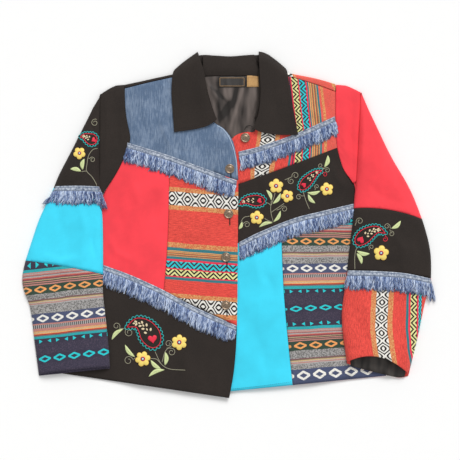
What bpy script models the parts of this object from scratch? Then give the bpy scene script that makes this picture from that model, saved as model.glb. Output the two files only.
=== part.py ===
# Patchwork jacket, laid flat on its back, its left front closed over its right front.
# Plan coordinates are millimetres: x to the right, y towards the collar, z up from the surface it lies on.

import math
import random

import bmesh
import bpy
import numpy as np
from mathutils import Vector
from mathutils.bvhtree import BVHTree

MM = 0.001
WALL = 1.5
LINING_WALL = 1.0
COLLAR_WALL = 2.4
LABEL_WALL = 0.8
SEAM_GAP = 0.3
LAYER_GAP = 0.4

# Heights of the cloth's upper faces
PLATEAU = 9.0
SIDE_SEAM_TOP = 2 * WALL + SEAM_GAP
ARMHOLE_TOP = 6.0
PLACKET_TOP = 5.7
HEM_DROP = 1.0
NECK_RAISE = 2.4
OVER_BODY = SIDE_SEAM_TOP + 0.9
RIM = WALL + SEAM_GAP + 0.8
INNER_RIM = ARMHOLE_TOP + 2.2
GUSSET_REST = RIM + 0.6
GUSSET_CLIMB = 0.7
CAP_ROUND = 8.0
ARCH_POWER = 5

# Where the cloth changes height: distances inside an edge, and above and below the armhole's foot
SLEEVE_TO_PLATEAU = (12, 56)
ARMHOLE_TO_PLATEAU = (0, 40)
PIT_BLEND = (-6, 36)
RIM_BLEND = (-6, 20)
LEFT_LOOSE = (28, 60)
PLACKET_BLEND = (24, 72)
HEM_BLEND = (250, 305)
BACK_BLENDS = ((-122, -102), (-134, -112), (210, 232))

# Where a sleeve's under half climbs the body's side: how far outside it each column is,
# the largest share across it may have, and its share above the armhole's foot
UNDER_COLUMNS = ((18, 0.9, 0.5), (12, 0.94, 0.7), (5, 0.97, 0.9))
SIDE_CLIMB = (-18, -5)
PIT_CLIMB = (0, 10)

# Moves the plan so that the middle of the jacket's box is the origin
CENTRING = (1.0, 0.9)

CENTRE_BACK_X = 3.0
BACK_NECK_Y = 264.0
BACK_HEM_Y = -298.0

RIBBON_WIDTH = 10.0
RIBBON_WALL = 1.6
LOCK_PITCH = 6.6
LOCK_SHARE = 0.68
LOCK_SWING = 0.28
# Each ring down a lock: its share of the fall, its width in pitches, its thickness, how high it lies
LOCK_RINGS = ((0.5, 0.72, 2.6, 0.9), (1.0, 0.25, 1.0, 0.7))

BUTTON_RADIUS = 8.5
BUTTON_HEIGHT = 3.6
BUTTON_STEPS = 12


def table(columns, *rows):
    names = columns.split()
    return [dict(zip(names, row)) for row in rows]


# The two fronts, a row for each line across, from shoulder to hem.
# The front seam's x is where the two lower panels of the front meet, and bow lifts the row's middle.
LEFT_FRONT = table(
    "name side_x side_y front_x front_y seam_x bow",
    ("shoulder", -184, 244, -63, 271, -130, 1),
    ("", -184, 229, -56, 256, -127, 0),
    ("", -183.5, 213, -49, 239, -124, 0),
    ("", -182, 198, -41, 219, -121, 0),
    ("", -180, 185, -32, 197, -118, 0),
    ("", -177.5, 173, -23, 180, -114, 0),
    ("", -175, 163, -10, 176, -110, 0),
    ("", -174, 156, 2, 164, -107, -2),
    ("", -174.5, 150.5, 11, 149, -105, -2),
    ("", -175.3, 146, 18, 122, -104, 0),
    ("yoke_seam", -176, 143, 20.5, 78, -103, 0),
    ("", -181, 127, 20.5, 55, -103.5, 0),
    ("", -191, 106, 20, 28, -104, 0),
    ("", -203, 83, 20, 0, -104.5, 0),
    ("pit", -223, 56, 19.5, -35, -105, 0),
    ("", -238, -4, 19, -105, -108, 2),
    ("hem_seam", -254, -67, 18, -184, -114, 5),
    ("", -270, -130, 16, -228, -127, 3),
    ("", -286, -200, 12, -270, -140, 1),
    ("hem", -302, -268, 4, -313, -153, 0),
)
RIGHT_FRONT = table(
    "name side_x side_y front_x front_y seam_x bow",
    ("shoulder", 195, 238, 76, 273, 128, 3),
    ("", 195, 222, 70, 252, 128, 2),
    ("", 195, 206, 65, 228, 127, 0),
    ("", 195, 191, 61, 203, 125, 0),
    ("", 195, 178, 54, 181, 122, 0),
    ("", 195.5, 167, 45, 166.5, 118, 0),
    ("", 196, 158, 31, 165, 113, -3),
    ("", 196.7, 150, 16, 161.5, 109, -6),
    ("", 197.3, 144.5, 5, 150, 106, -6),
    ("", 197.7, 140.5, -8, 125, 105, -2),
    ("chest_seam", 198, 137, -11, 61, 104, -1.5),
    ("", 203, 117, -11.5, 40, 103, 0),
    ("", 210, 94, -12, 10, 101, 2),
    ("pit", 227, 76, -12.5, -15, 100, 4),
    ("", 233, 55, -13, -33, 99, 6),
    ("waist_seam", 237, 32, -13, -49, 98, 9),
    ("", 244, -20, -15, -98, 99, 6),
    ("", 254, -80, -18, -160, 102, 3),
    ("", 266, -155, -21, -228, 108, 1),
    ("hem", 286, -273, -25, -304, 118, 0),
)

# The sleeves' upper halves, a row for each line across, from the cap to the hem.
# Loft is how high the cloth stands over its folded edges, and bow lifts the row's middle.
LEFT_SLEEVE = table(
    "name outer_x outer_y inner_x inner_y bow loft",
    ("cap", -231, 226, -227.5, 229.5, 0, 2),
    ("", -240, 212, -229, 214, 0, 4),
    ("", -250, 191, -229.5, 190, 0, 6),
    ("", -264, 164, -230, 160, 0, 8),
    ("", -277, 137, -230, 130, 0, 9),
    ("", -291, 111, -230, 106, 0, 9),
    ("", -304, 86, -229.5, 84, 0, 9),
    ("upper_seam", -312, 65, -227.5, 59.5, 0, 9),
    ("", -320, 47, -227.3, 46, 0, 9),
    ("", -331, 24, -224.5, 22, 0, 9),
    ("", -339, 7, -223, 2, 0, 10),
    ("", -351, -30, -222.5, -42, 0, 10),
    ("lower_seam", -362.5, -66, -222.5, -91, 2, 10),
    ("", -370, -97, -223.5, -114, 1, 10),
    ("", -366, -121, -222, -136, 1, 9),
    ("", -353, -147, -219, -160, 0, 9),
    ("", -349, -188, -215.5, -190, 0, 9),
    ("", -344, -228, -212.5, -222, 1, 9),
    ("hem", -338, -271, -210, -257, 2, 9),
)
RIGHT_SLEEVE = table(
    "name outer_x outer_y inner_x inner_y bow loft",
    ("cap", 243.5, 233, 240.5, 236, 0, 2),
    ("", 253, 210, 240, 208, 0, 4),
    ("", 266, 183, 238.5, 180, 0, 6),
    ("", 280, 153, 237, 150, 0, 8),
    ("", 296, 119, 235, 115, 0, 9),
    ("pit", 318, 84, 233, 80, 0, 9),
    ("", 326, 69, 231.4, 66, 1, 9),
    ("", 337, 47, 229, 50, 4, 9),
    ("upper_seam", 351, 9, 228, 28, 7, 9),
    ("", 360, -19, 225.5, -4, 5, 10),
    ("", 368, -55, 220, -45, 4, 10),
    ("lower_seam", 367, -98, 215.5, -85, 3, 10),
    ("", 360, -125, 211.5, -120, 2, 9),
    ("", 352, -158, 206, -151, 2, 10),
    ("", 346, -190, 206, -181, 4, 12),
    ("", 338, -225, 210, -215, 10, 15),
    ("hem", 326, -269, 215.5, -248, 20, 19),
)
RIGHT_UNDER_HEM = dict(outer_x=326, outer_y=-273, inner_x=215.5, inner_y=-251, bow=-7)
LEFT_CREASE = (
    (-200, 249.5), (-216, 242), (-226, 232), (-229, 190), (-229.5, 130), (-229, 85), (-226.5, 61)
)
RIGHT_CREASE = ((214, 249.5), (228, 244), (238, 236), (236, 167), (233, 112), (231, 81))
LEFT_SHOULDER_CORNER = (-185.5, 251)
RIGHT_SHOULDER_CORNER = (198, 251)

# Shoulder folds of the back, over which it meets the fronts' shoulder seams
LEFT_SHOULDER_FOLD = ((-184.5, 251), (-142, 260), (-100, 269), (-66, 276))
RIGHT_SHOULDER_FOLD = ((195.5, 252), (167, 261), (120, 270.5), (78, 277.5))
LEFT_BACK_NECK = ((CENTRE_BACK_X, BACK_NECK_Y), (-48, 265), (-62, 273.5))
RIGHT_BACK_NECK = ((CENTRE_BACK_X, BACK_NECK_Y), (62, 265), (75, 274))
FOLD_REACH = np.array((0.0, 4.0))
ROLL_TURNS = 5

# Soft creases: a line, its half width and its height, down where negative
FRONT_CREASES = table(
    "x0 y0 x1 y1 width height",
    (-150, 205, -165, 130, 14, 0.9),
    (-110, 90, -150, -60, 20, 1.2),
    (-60, 30, -80, -90, 16, -0.9),
    (-170, 40, -190, -60, 16, -1.1),
    (-200, -150, -225, -250, 20, 1.2),
    (-100, -170, -110, -290, 22, -0.9),
    (140, 240, 165, 150, 14, -0.9),
    (110, 130, 150, 20, 20, 1.1),
    (75, -40, 60, -200, 20, 1.0),
    (150, -60, 170, -240, 20, -1.0),
    (205, 60, 190, -60, 12, 0.8),
)
SLEEVE_CREASES = table(
    "x0 y0 x1 y1 width height",
    (-240, 150, -285, 75, 10, 1.6),
    (-330, 15, -250, -30, 13, -1.6),
    (-345, -40, -260, -110, 14, 1.8),
    (-350, -100, -290, -150, 12, -1.6),
    (-300, -150, -240, -175, 12, 1.4),
    (-330, -190, -270, -240, 14, -1.2),
    (250, 165, 285, 95, 10, 1.6),
    (260, 60, 330, 30, 13, -1.5),
    (240, 0, 320, -50, 14, 1.6),
    (330, -60, 250, -90, 12, -1.2),
    (260, -120, 240, -200, 14, -1.8),
    (310, -130, 300, -220, 16, 1.8),
)
LINING_CREASES = table(
    "x0 y0 x1 y1 width height",
    (-30, 240, -8, 150, 7, 0.9),
    (2, 235, 6, 160, 6, 0.8),
    (24, 240, 12, 165, 7, 0.9),
    (48, 235, 30, 170, 7, 0.8),
)

# Collar
LEFT_ROLL = ((-18, 188), (-30, 217), (-37, 245), (-40, 268), (-47, 292), (-53, 310))
LEFT_LEAF_EDGE = ((-95, 165), (-98, 205), (-100, 243), (-97, 276))
LEFT_LEAF_FRONT = ((-18, 188), (-32, 177), (-65, 169), (-95, 165))
LEFT_LEAF_TOP = ((-53, 310), (-77, 293), (-97, 276))
RIGHT_ROLL = ((46, 171), (55, 193), (59, 216), (60, 245), (58, 277), (57, 311))
RIGHT_LEAF_EDGE = ((128, 160), (117, 221), (108, 279))
RIGHT_LEAF_FRONT = ((46, 171), (63, 164), (91, 160), (128, 160))
RIGHT_LEAF_TOP = ((57, 311), (68, 309), (85, 298), (108, 279))
LEAF_RISE = 3.5
LEAF_RISE_REACH = 32
LEAF_ROLL_DIP = 1.5
LEAF_ROLL_ROUND = 3
LEAF_TOP_ROUND = 10
LEAF_REST = 4.8
LEAF_ON_FRONT_Y = 180
LEFT_LEAF_LIFT = 0.5
RIGHT_LEAF_LIFT = 2.7
FALL_WALL = 2.0

# The back fall, a row for each pair of points on its upper and lower edge
FALL = table(
    "upper_x upper_y lower_x lower_y",
    (-97, 272, -93, 266),
    (-77, 289, -81, 250),
    (-55, 304, -54, 240),
    (-25, 304, -20, 238),
    (-3, 300, 5, 238),
    (27, 303, 35, 238),
    (56, 305, 65, 240),
    (68, 304, 80, 245),
    (85, 292, 90, 252),
    (107, 271, 102, 266),
)

STAND = table(
    "seam_x seam_y seam_z roll_x roll_y roll_z bulge",
    (-22, 184, 8.9, -19, 190, 9.6, 0),
    (-32, 205, 8.9, -28, 214, 9.8, 0),
    (-44, 236, 8.9, -36, 242, 10.0, 0),
    (-49, 256, 8.8, -40, 268, 9.6, 0),
    (-47, 265, 8.2, -43, 290, 8.0, 1.5),
    (-38, 266, 7.0, -44, 303, 5.0, 3),
    (-15, 266, 6.2, -20, 304, 4.4, 3.4),
    (8, 266, 6.2, 5, 301, 4.4, 3.4),
    (32, 266, 6.2, 30, 304, 4.4, 3.4),
    (53, 266, 7.0, 49, 305, 5.0, 3),
    (60, 266, 8.2, 52, 290, 8.4, 1.5),
    (64, 258, 8.8, 56, 270, 11.0, 0),
    (64, 238, 8.9, 58, 244, 12.0, 0),
    (60, 207, 8.9, 57, 215, 12.0, 0),
    (52, 185, 7.6, 49, 190, 11.0, 0),
)

# Neck lining, a row for each line across
NECK_LINING = table(
    "y left right",
    (262.5, -44, 60),
    (240, -66, 80),
    (200, -58, 78),
    (165, -42, 66),
    (122, -28, 38),
)
NECK_LABEL = dict(left=-15, right=33, low=243, high=261)
SIZE_LABEL = dict(left=36, right=57, low=242.5, high=261)

# The right cuff's lining stops short of its folds by a share of the width, and of the hem by a distance
CUFF_LINING_INSET = 0.06
CUFF_LINING_SHORT = 3
CUFF_LINING_ROWS = 4

# Frayed denim strips: the upper edge of the ribbon, which way and how far the fringe falls
FRINGES = table(
    "name route lean length seed",
    ("denim_fringe_1", ((-172, 144), (-113, 126), (-49, 103), (16, 79)), -8, 26, 1),
    ("denim_fringe_2", ((-217, -76), (-173, -92), (-118, -117), (-62, -147), (15, -182)), -10, 26, 2),
    ("denim_fringe_3", ((25, 131), (63, 141), (125, 163), (189, 191)), 8, 24, 3),
    ("denim_fringe_4", ((25, -33), (61, -14), (120, 10), (167, 22), (221, 35)), 6, 24, 4),
    ("sleeve_l_fringe", ((-303, 68), (-270, 68), (-235, 66)), -4, 23, 5),
    ("sleeve_r_fringe", ((222, -84), (270, -85), (320, -89), (353, -96)), 4, 25, 6),
)

BUTTONS = table(
    "name x y",
    ("button_1", 33, 155),
    ("button_2", 5, 99),
    ("button_3", 3, 18),
    ("button_4", -2, -60),
    ("button_5", -2, -146),
)

# Finishes: colour, roughness and metallic value
FINISHES = {
    "black_twill": ((0.025, 0.02, 0.018), 0.85, 0.0),
    "denim": ((0.08, 0.17, 0.32), 0.85, 0.0),
    "denim_fringe": ((0.2, 0.3, 0.55), 0.9, 0.0),
    "red_twill": ((0.85, 0.06, 0.08), 0.8, 0.0),
    "turquoise_twill": ((0.02, 0.5, 0.75), 0.8, 0.0),
    "ikat_weave": ((0.55, 0.08, 0.05), 0.85, 0.0),
    "stripe_weave": ((0.08, 0.1, 0.14), 0.85, 0.0),
    "satin_lining": ((0.05, 0.05, 0.055), 0.4, 0.0),
    "label_weave": ((0.015, 0.014, 0.012), 0.6, 0.0),
    "antique_brass": ((0.35, 0.22, 0.13), 0.4, 1.0),
}


def step(value, start, end):
    part = np.clip((value - start) / (end - start), 0.0, 1.0)
    return part * part * (3 - 2 * part)


def rounded(distance, radius):
    part = np.clip(distance / radius, 0.0, 1.0)
    return np.sqrt(1 - (1 - part) ** 2)


def lerp(a, b, share):
    return a + (b - a) * share


def curve(points, steps):
    """A smooth curve through the points: steps is how many between each two, or a list of how many."""
    given = np.array(points, float)
    counts = [steps] * (len(given) - 1) if isinstance(steps, int) else steps
    ends = np.vstack([2 * given[0] - given[1], given, 2 * given[-1] - given[-2]])
    result = []
    for a, b, c, d, count in zip(ends, ends[1:], ends[2:], ends[3:], counts):
        t1 = np.linalg.norm(b - a) ** 0.5
        t2 = t1 + np.linalg.norm(c - b) ** 0.5
        t3 = t2 + np.linalg.norm(d - c) ** 0.5
        for k in range(count):
            t = lerp(t1, t2, k / count)
            ab = lerp(a, b, t / t1)
            bc = lerp(b, c, (t - t1) / (t2 - t1))
            cd = lerp(c, d, (t - t2) / (t3 - t2))
            abc = lerp(ab, bc, t / t2)
            bcd = lerp(bc, cd, (t - t1) / (t3 - t1))
            result.append(lerp(abc, bcd, (t - t1) / (t2 - t1)))
    return np.array(result + [given[-1]])


def spread(points, count, fine=8):
    """This many even steps along the smooth curve through the points."""
    line = curve(points, fine)
    length = np.append(0, np.cumsum(np.linalg.norm(np.diff(line, axis=0), axis=1)))
    at = np.linspace(0, length[-1], count + 1)
    return np.stack([np.interp(at, length, line[:, k]) for k in range(line.shape[1])], axis=1)


def from_line(x, y, points):
    """The distance in plan to the line through the points."""
    nearest = np.full(np.shape(x), 1e9)
    for (x0, y0), (x1, y1) in zip(points, points[1:]):
        share = ((x - x0) * (x1 - x0) + (y - y0) * (y1 - y0)) / ((x1 - x0) ** 2 + (y1 - y0) ** 2)
        share = np.clip(share, 0, 1)
        nearest = np.minimum(nearest, np.hypot(x - lerp(x0, x1, share), y - lerp(y0, y1, share)))
    return nearest


def creased(x, y, creases):
    height = np.zeros(np.shape(x))
    for row in creases:
        away = from_line(x, y, ((row["x0"], row["y0"]), (row["x1"], row["y1"])))
        height += row["height"] * np.exp(-((away / row["width"]) ** 2))
    return height


def edge_x(rows, key, y):
    """The x of one edge of a table at this y."""
    below = sorted((row[key + "_y"], row[key + "_x"]) for row in rows)
    return np.interp(y, [at for at, _ in below], [x for _, x in below])


def side_y(rows, name):
    return next(row for row in rows if row["name"] == name)["side_y"]


def front_top(x, y, left):
    """The height of a front's upper face."""
    rows, sleeve, sign = (LEFT_FRONT, LEFT_SLEEVE, 1) if left else (RIGHT_FRONT, RIGHT_SLEEVE, -1)
    pit_y = side_y(rows, "pit")
    past_sleeve = sign * (x - edge_x(sleeve, "inner", y))
    past_armhole = sign * (x - edge_x(rows, "side", y))
    low = lerp(SIDE_SEAM_TOP, PLATEAU, step(past_sleeve, *SLEEVE_TO_PLATEAU))
    high = lerp(ARMHOLE_TOP, PLATEAU, step(past_armhole, *ARMHOLE_TO_PLATEAU))
    height = lerp(low, high, step(y - pit_y, *PIT_BLEND))
    loose = step(height, SIDE_SEAM_TOP + 1, PLATEAU)
    if left:
        loose = loose * step(-x, *LEFT_LOOSE)
    else:
        height = lerp(PLACKET_TOP, height, step(x, *PLACKET_BLEND))
        loose = loose * step(x, *PLACKET_BLEND)
    height = height + loose * creased(x, y, FRONT_CREASES)
    return height - HEM_DROP * step(-y, *HEM_BLEND) * step(height, SIDE_SEAM_TOP, PLATEAU)


def back_rise(x, y):
    """How far the back is lifted off the surface by the collar folded under it."""
    left, right, low = BACK_BLENDS
    return NECK_RAISE * step(x, *left) * step(-x, *right) * step(y, *low)


def sleeve_rise(x, y, left):
    """How far a sleeve's under half is lifted by the body's side under it."""
    rows, sign = (LEFT_FRONT, 1) if left else (RIGHT_FRONT, -1)
    pit_y = side_y(rows, "pit")
    past_side = sign * (x - edge_x(rows, "side", y))
    return OVER_BODY * step(past_side, *SIDE_CLIMB) * step(pit_y - y, *PIT_CLIMB)


def row_steps(rows):
    """How many steps each stretch between two rows takes: more below the armhole, where rows are far apart."""
    names = [row["name"] for row in rows]
    return [1 if number < names.index("pit") else 2 for number in range(len(rows) - 1)]


def front_grid(rows, side_columns, front_columns):
    """Plan points of a front, a list of rows, with the number of the column on its inner seam."""
    lines = []
    for row in rows:
        side = np.array((row["side_x"], row["side_y"]), float)
        front = np.array((row["front_x"], row["front_y"]), float)
        seam = (row["seam_x"] - side[0]) / (front[0] - side[0])
        beyond = np.linspace(seam, 1, front_columns + 1)[1:]
        shares = np.append(np.linspace(0, seam, side_columns + 1), beyond)
        bow = row["bow"] * 4 * shares * (1 - shares)
        lines.append(side + (front - side) * shares[:, None] + np.stack([0 * bow, bow], axis=1))
    lines = np.array(lines)
    return np.stack([curve(lines[:, k], row_steps(rows)) for k in range(lines.shape[1])], axis=1)


def row_number(rows, name):
    number = next(i for i, row in enumerate(rows) if row["name"] == name)
    return sum(row_steps(rows)[:number])


def raised(grid, height):
    """Plan points with their heights added."""
    return np.dstack([grid[..., 0], grid[..., 1], np.broadcast_to(height, grid.shape[:2])])


def coons(first, last, start, end):
    """A grid between four edges: first and last run along the rows, start and end down the columns."""
    s = np.linspace(0, 1, len(first))[None, :, None]
    t = np.linspace(0, 1, len(start))[:, None, None]
    ruled = (1 - t) * first[None] + t * last[None] + (1 - s) * start[:, None] + s * end[:, None]
    corners = (1 - s) * (1 - t) * first[0] + s * (1 - t) * first[-1]
    corners = corners + (1 - s) * t * last[0] + s * t * last[-1]
    return ruled - corners


def finish_of(name):
    material = bpy.data.materials.get(name)
    if material is None:
        colour, roughness, metallic = FINISHES[name]
        material = bpy.data.materials.new(name)
        material.use_nodes = True
        shader = material.node_tree.nodes["Principled BSDF"]
        shader.inputs["Base Color"].default_value = (*colour, 1)
        shader.inputs["Roughness"].default_value = roughness
        shader.inputs["Metallic"].default_value = metallic
        material.diffuse_color = (*colour, 1)
    return material


def pull_in(bm, distance):
    """Moves the open edges of a surface inwards, along the surface."""
    shifts = {}
    for edge in bm.edges:
        if not edge.is_boundary:
            continue
        face = edge.link_faces[0]
        along = edge.verts[1].co - edge.verts[0].co
        inward = face.normal.cross(along).normalized()
        middle = (edge.verts[0].co + edge.verts[1].co) / 2
        if inward.dot(face.calc_center_median() - middle) < 0:
            inward.negate()
        for vert in edge.verts:
            shifts.setdefault(vert, []).append(inward)
    for vert, inwards in shifts.items():
        total = sum(inwards, Vector())
        scale = len(inwards) / max(total.length_squared, 1.0)
        vert.co += total * scale * distance


def link(name, mesh, finish):
    obj = bpy.data.objects.new(name, mesh)
    obj.data.materials.append(finish_of(finish))
    bpy.data.collections["patchwork_jacket"].objects.link(obj)
    return obj


def wall(name, grids, finish, thickness=WALL, faces_up=True, gap=SEAM_GAP):
    """A cloth piece: the open surface of its outer face, given a wall on its inner side."""
    bm = bmesh.new()
    for grid in grids:
        verts = [[bm.verts.new(Vector(point) * MM) for point in row] for row in grid]
        for near, far in zip(verts, verts[1:]):
            for a, b, c, d in zip(near, near[1:], far[1:], far):
                bm.faces.new((a, b, c, d))
    bmesh.ops.remove_doubles(bm, verts=bm.verts, dist=1e-5)
    bm.normal_update()
    upward = sum(face.normal.z * face.calc_area() for face in bm.faces) > 0
    if upward != faces_up:
        bmesh.ops.reverse_faces(bm, faces=bm.faces)
    bm.normal_update()
    pull_in(bm, gap / 2 * MM)
    mesh = bpy.data.meshes.new(name)
    bm.to_mesh(mesh)
    bm.free()
    mesh.shade_smooth()
    obj = link(name, mesh, finish)
    solidify = obj.modifiers.new("wall", "SOLIDIFY")
    solidify.thickness = thickness * MM
    solidify.offset = -1
    return obj


def tree_of(objects):
    """The outer faces of these pieces, to lay something on them."""
    points, faces = [], []
    for obj in objects:
        first = len(points)
        points += [vert.co for vert in obj.data.vertices]
        faces += [[first + k for k in face.vertices] for face in obj.data.polygons]
    return BVHTree.FromPolygons(points, faces)


def lie(tree, x, y, otherwise=0.0):
    """The height of the pieces under a point of the plan."""
    hit = tree.ray_cast(Vector((x, y, 100)) * MM, Vector((0, 0, -1)))[0]
    return hit.z / MM if hit else otherwise


def make_fronts():
    left = front_grid(LEFT_FRONT, 5, 6)
    right = front_grid(RIGHT_FRONT, 5, 5)
    left_top = raised(left, front_top(left[..., 0], left[..., 1], True))
    right_top = raised(right, front_top(right[..., 0], right[..., 1], False))
    yoke = row_number(LEFT_FRONT, "yoke_seam")
    low = row_number(LEFT_FRONT, "hem_seam")
    chest = row_number(RIGHT_FRONT, "chest_seam")
    waist = row_number(RIGHT_FRONT, "waist_seam")
    lefts = [
        wall("denim_yoke", [left_top[: yoke + 1]], "denim"),
        wall("red_panel", [left_top[yoke : low + 1, :6]], "red_twill"),
        wall("ikat_panel", [left_top[yoke : low + 1, 5:]], "ikat_weave"),
        wall("black_hem_panel", [left_top[low:]], "black_twill"),
    ]
    rights = [
        wall("ikat_yoke", [right_top[: chest + 1]], "ikat_weave"),
        wall("black_panel", [right_top[chest : waist + 1]], "black_twill"),
        wall("turquoise_panel", [right_top[waist:, 5:]], "turquoise_twill"),
        wall("striped_panel", [right_top[waist:, :6]], "stripe_weave"),
    ]
    return left, right, lefts, rights


def make_back(name, sides, neck, fold, front_edge, finish):
    """Half of the back, flat underneath, with its shoulder rolled over to the front's shoulder seam."""
    columns_in, columns_out = 3, 4
    down = np.linspace(BACK_NECK_Y, BACK_HEM_Y, len(sides))
    centre = np.stack([np.full(len(sides), CENTRE_BACK_X), down], axis=1)
    shoulder = spread(fold[::-1], columns_out)
    top = np.vstack([spread(neck, columns_in), (shoulder - FOLD_REACH)[1:]])
    bottom = np.linspace(centre[-1], sides[-1], columns_in + columns_out + 1)
    flat = coons(top, bottom, centre, sides)
    flat = raised(flat, back_rise(flat[..., 0], flat[..., 1]))
    edge = flat[0, columns_in:]
    chosen = np.linspace(0, len(front_edge) - 1, columns_out + 1).round().astype(int)
    seam = front_edge[chosen]
    radius = (seam[:, 2] - edge[:, 2]) / 2
    roll = [edge]
    for turn in range(1, ROLL_TURNS + 1):
        angle = math.pi * turn / ROLL_TURNS
        row = edge.copy()
        row[:, 0] = lerp(edge[:, 0], seam[:, 0], turn / ROLL_TURNS / 2)
        row[:, 1] = edge[:, 1] + FOLD_REACH[1] * math.sin(angle)
        row[:, 2] = edge[:, 2] + radius * (1 - math.cos(angle))
        roll.append(row)
    roll.append(seam + (0, SEAM_GAP * 3, 0))
    return wall(name, [flat, np.array(roll[::-1])], finish, faces_up=False)


def sleeve_lines(rows, columns):
    """Plan points across a sleeve, closer together at its folded edges, and the share across."""
    shares = (1 - np.cos(np.linspace(0, math.pi, columns + 1))) / 2
    lines = []
    for row in rows:
        outer = np.array((row["outer_x"], row["outer_y"]), float)
        inner = np.array((row["inner_x"], row["inner_y"]), float)
        bow = row["bow"] * 4 * shares * (1 - shares)
        lines.append(outer + (inner - outer) * shares[:, None] + np.stack([0 * bow, bow], axis=1))
    return np.array(lines), shares


def sleeve_top(rows, left, crease, columns=12):
    """The upper face of a sleeve's upper half, with both folded edges turned down."""
    grid, shares = sleeve_lines(rows, columns)
    pit_y = side_y(LEFT_FRONT if left else RIGHT_FRONT, "pit")
    x, y = grid[..., 0], grid[..., 1]
    inner_rim = lerp(OVER_BODY + RIM, INNER_RIM, step(y - pit_y, *RIM_BLEND))
    loft = np.array([row["loft"] for row in rows], float)[:, None]
    arch = np.sqrt(1 - np.abs(2 * shares - 1) ** ARCH_POWER)[None]
    height = lerp(RIM, inner_rim, shares[None]) + loft * arch
    height = height + arch**2 * creased(x, y, SLEEVE_CREASES)
    cap = from_line(x, y, crease[:3])
    capped = lerp(RIM, height, rounded(cap + 1, CAP_ROUND))
    return raised(grid, np.where(y > pit_y, capped, height))


def sleeve_under(outer, inner, left):
    """The lower face of a sleeve's under half, with columns where it climbs the body's side."""
    rows, sign = (LEFT_FRONT, 1) if left else (RIGHT_FRONT, -1)
    side = edge_x(rows, "side", inner[:, 1])
    width = inner[:, 0] - outer[:, 0]
    beside_body = inner[:, 1] < side_y(rows, "pit") - 1
    shares = [
        np.where(beside_body, np.clip((side - sign * back - outer[:, 0]) / width, 0, most), plain)
        for back, most, plain in UNDER_COLUMNS
    ]
    shares = np.stack([0 * width, shares[0] / 2, *shares, 1 + 0 * width], axis=1)[..., None]
    grid = outer[:, None] * (1 - shares) + inner[:, None] * shares
    return raised(grid, sleeve_rise(grid[..., 0], grid[..., 1], left))


def plan(rows, key):
    return np.array([(row[key + "_x"], row[key + "_y"]) for row in rows], float)


def make_left_sleeve(sides, pit):
    rows, names = LEFT_SLEEVE, [row["name"] for row in LEFT_SLEEVE]
    upper, lower = names.index("upper_seam"), names.index("lower_seam")
    top = sleeve_top(rows, True, LEFT_CREASE)
    tops = [
        wall("sleeve_l_black", [top[: upper + 1]], "black_twill"),
        wall("sleeve_l_turquoise", [top[upper : lower + 1]], "turquoise_twill"),
        wall("sleeve_l_cuff", [top[lower:]], "stripe_weave"),
    ]
    outer, inner = plan(rows, "outer"), plan(rows, "inner")
    cap = spread([*LEFT_CREASE[:3], *outer[1 : upper + 1]], pit)
    wall("sleeve_l_under_black", [sleeve_under(cap, sides[: pit + 1], True)], "black_twill", faces_up=False)
    inner[upper] = sides[pit]
    wall(
        "sleeve_l_under_turquoise",
        [sleeve_under(outer[upper : lower + 1], inner[upper : lower + 1], True)],
        "turquoise_twill",
        faces_up=False,
        gap=4 * SEAM_GAP,
    )
    outer[-1, 1] -= 2
    inner[-1, 1] -= 3
    wall(
        "sleeve_l_under_cuff",
        [sleeve_under(outer[lower:], inner[lower:], True)],
        "stripe_weave",
        faces_up=False,
    )
    return tops


def make_right_sleeve(sides, pit):
    rows, names = RIGHT_SLEEVE, [row["name"] for row in RIGHT_SLEEVE]
    upper, lower = names.index("upper_seam"), names.index("lower_seam")
    under = names.index("pit")
    top = sleeve_top(rows, False, RIGHT_CREASE)
    tops = [
        wall("sleeve_r_red", [top[: upper + 1]], "red_twill"),
        wall("sleeve_r_black", [top[upper : lower + 1]], "black_twill"),
        wall("sleeve_r_cuff", [top[lower:]], "ikat_weave"),
    ]
    outer, inner = plan(rows, "outer"), plan(rows, "inner")
    cap = spread([*RIGHT_CREASE[:3], *outer[1 : under + 1]], pit)
    inner[under] = sides[pit]
    above = np.vstack([cap, outer[under + 1 : upper + 1]])
    beside = np.vstack([sides[: pit + 1], inner[under + 1 : upper + 1]])
    wall("sleeve_r_under_red", [sleeve_under(above, beside, False)], "red_twill", faces_up=False)
    wall(
        "sleeve_r_under_black",
        [sleeve_under(outer[upper : lower + 1], inner[upper : lower + 1], False)],
        "black_twill",
        faces_up=False,
    )
    hem_rows = rows[lower:-1] + [RIGHT_UNDER_HEM]
    cuff = sleeve_under(plan(hem_rows, "outer"), plan(hem_rows, "inner"), False)
    cuff[-1, 1:-1, 1] += RIGHT_UNDER_HEM["bow"]
    wall("sleeve_r_under_cuff", [cuff], "ikat_weave", faces_up=False)
    last = hem_rows[-CUFF_LINING_ROWS:]
    outer, inner = plan(last, "outer"), plan(last, "inner")
    inset = CUFF_LINING_INSET
    inside = sleeve_under(lerp(outer, inner, inset), lerp(inner, outer, inset), False)
    inside[-1, 1:-1, 1] += RIGHT_UNDER_HEM["bow"] + CUFF_LINING_SHORT
    inside[..., 2] += WALL + 2 * SEAM_GAP + LINING_WALL
    wall("sleeve_r_lining", [inside], "satin_lining", LINING_WALL)
    return tops


def make_gusset(name, sides, corner, crease, pit, left, finish):
    """The sleeve's flat part between the armhole seam and its crease."""
    columns = 2
    inner = np.vstack([corner, sides[: pit + 1]])
    outer = spread(crease, pit + 1)
    shares = np.linspace(0, 1, columns + 1)[None, :, None]
    grid = inner[:, None] * (1 - shares) + outer[:, None] * shares
    x, y = grid[..., 0], grid[..., 1]
    height = ARMHOLE_TOP + GUSSET_CLIMB * np.linspace(0, 1, columns + 1)[None]
    edge = from_line(x, y, (corner, *crease[:3]))
    height = lerp(GUSSET_REST, height, rounded(edge, CAP_ROUND))
    height[1:, 0] = np.maximum(height[1:, 0], front_top(x[1:, 0], y[1:, 0], left) - 1)
    return wall(name, [raised(grid, height)], finish)


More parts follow.
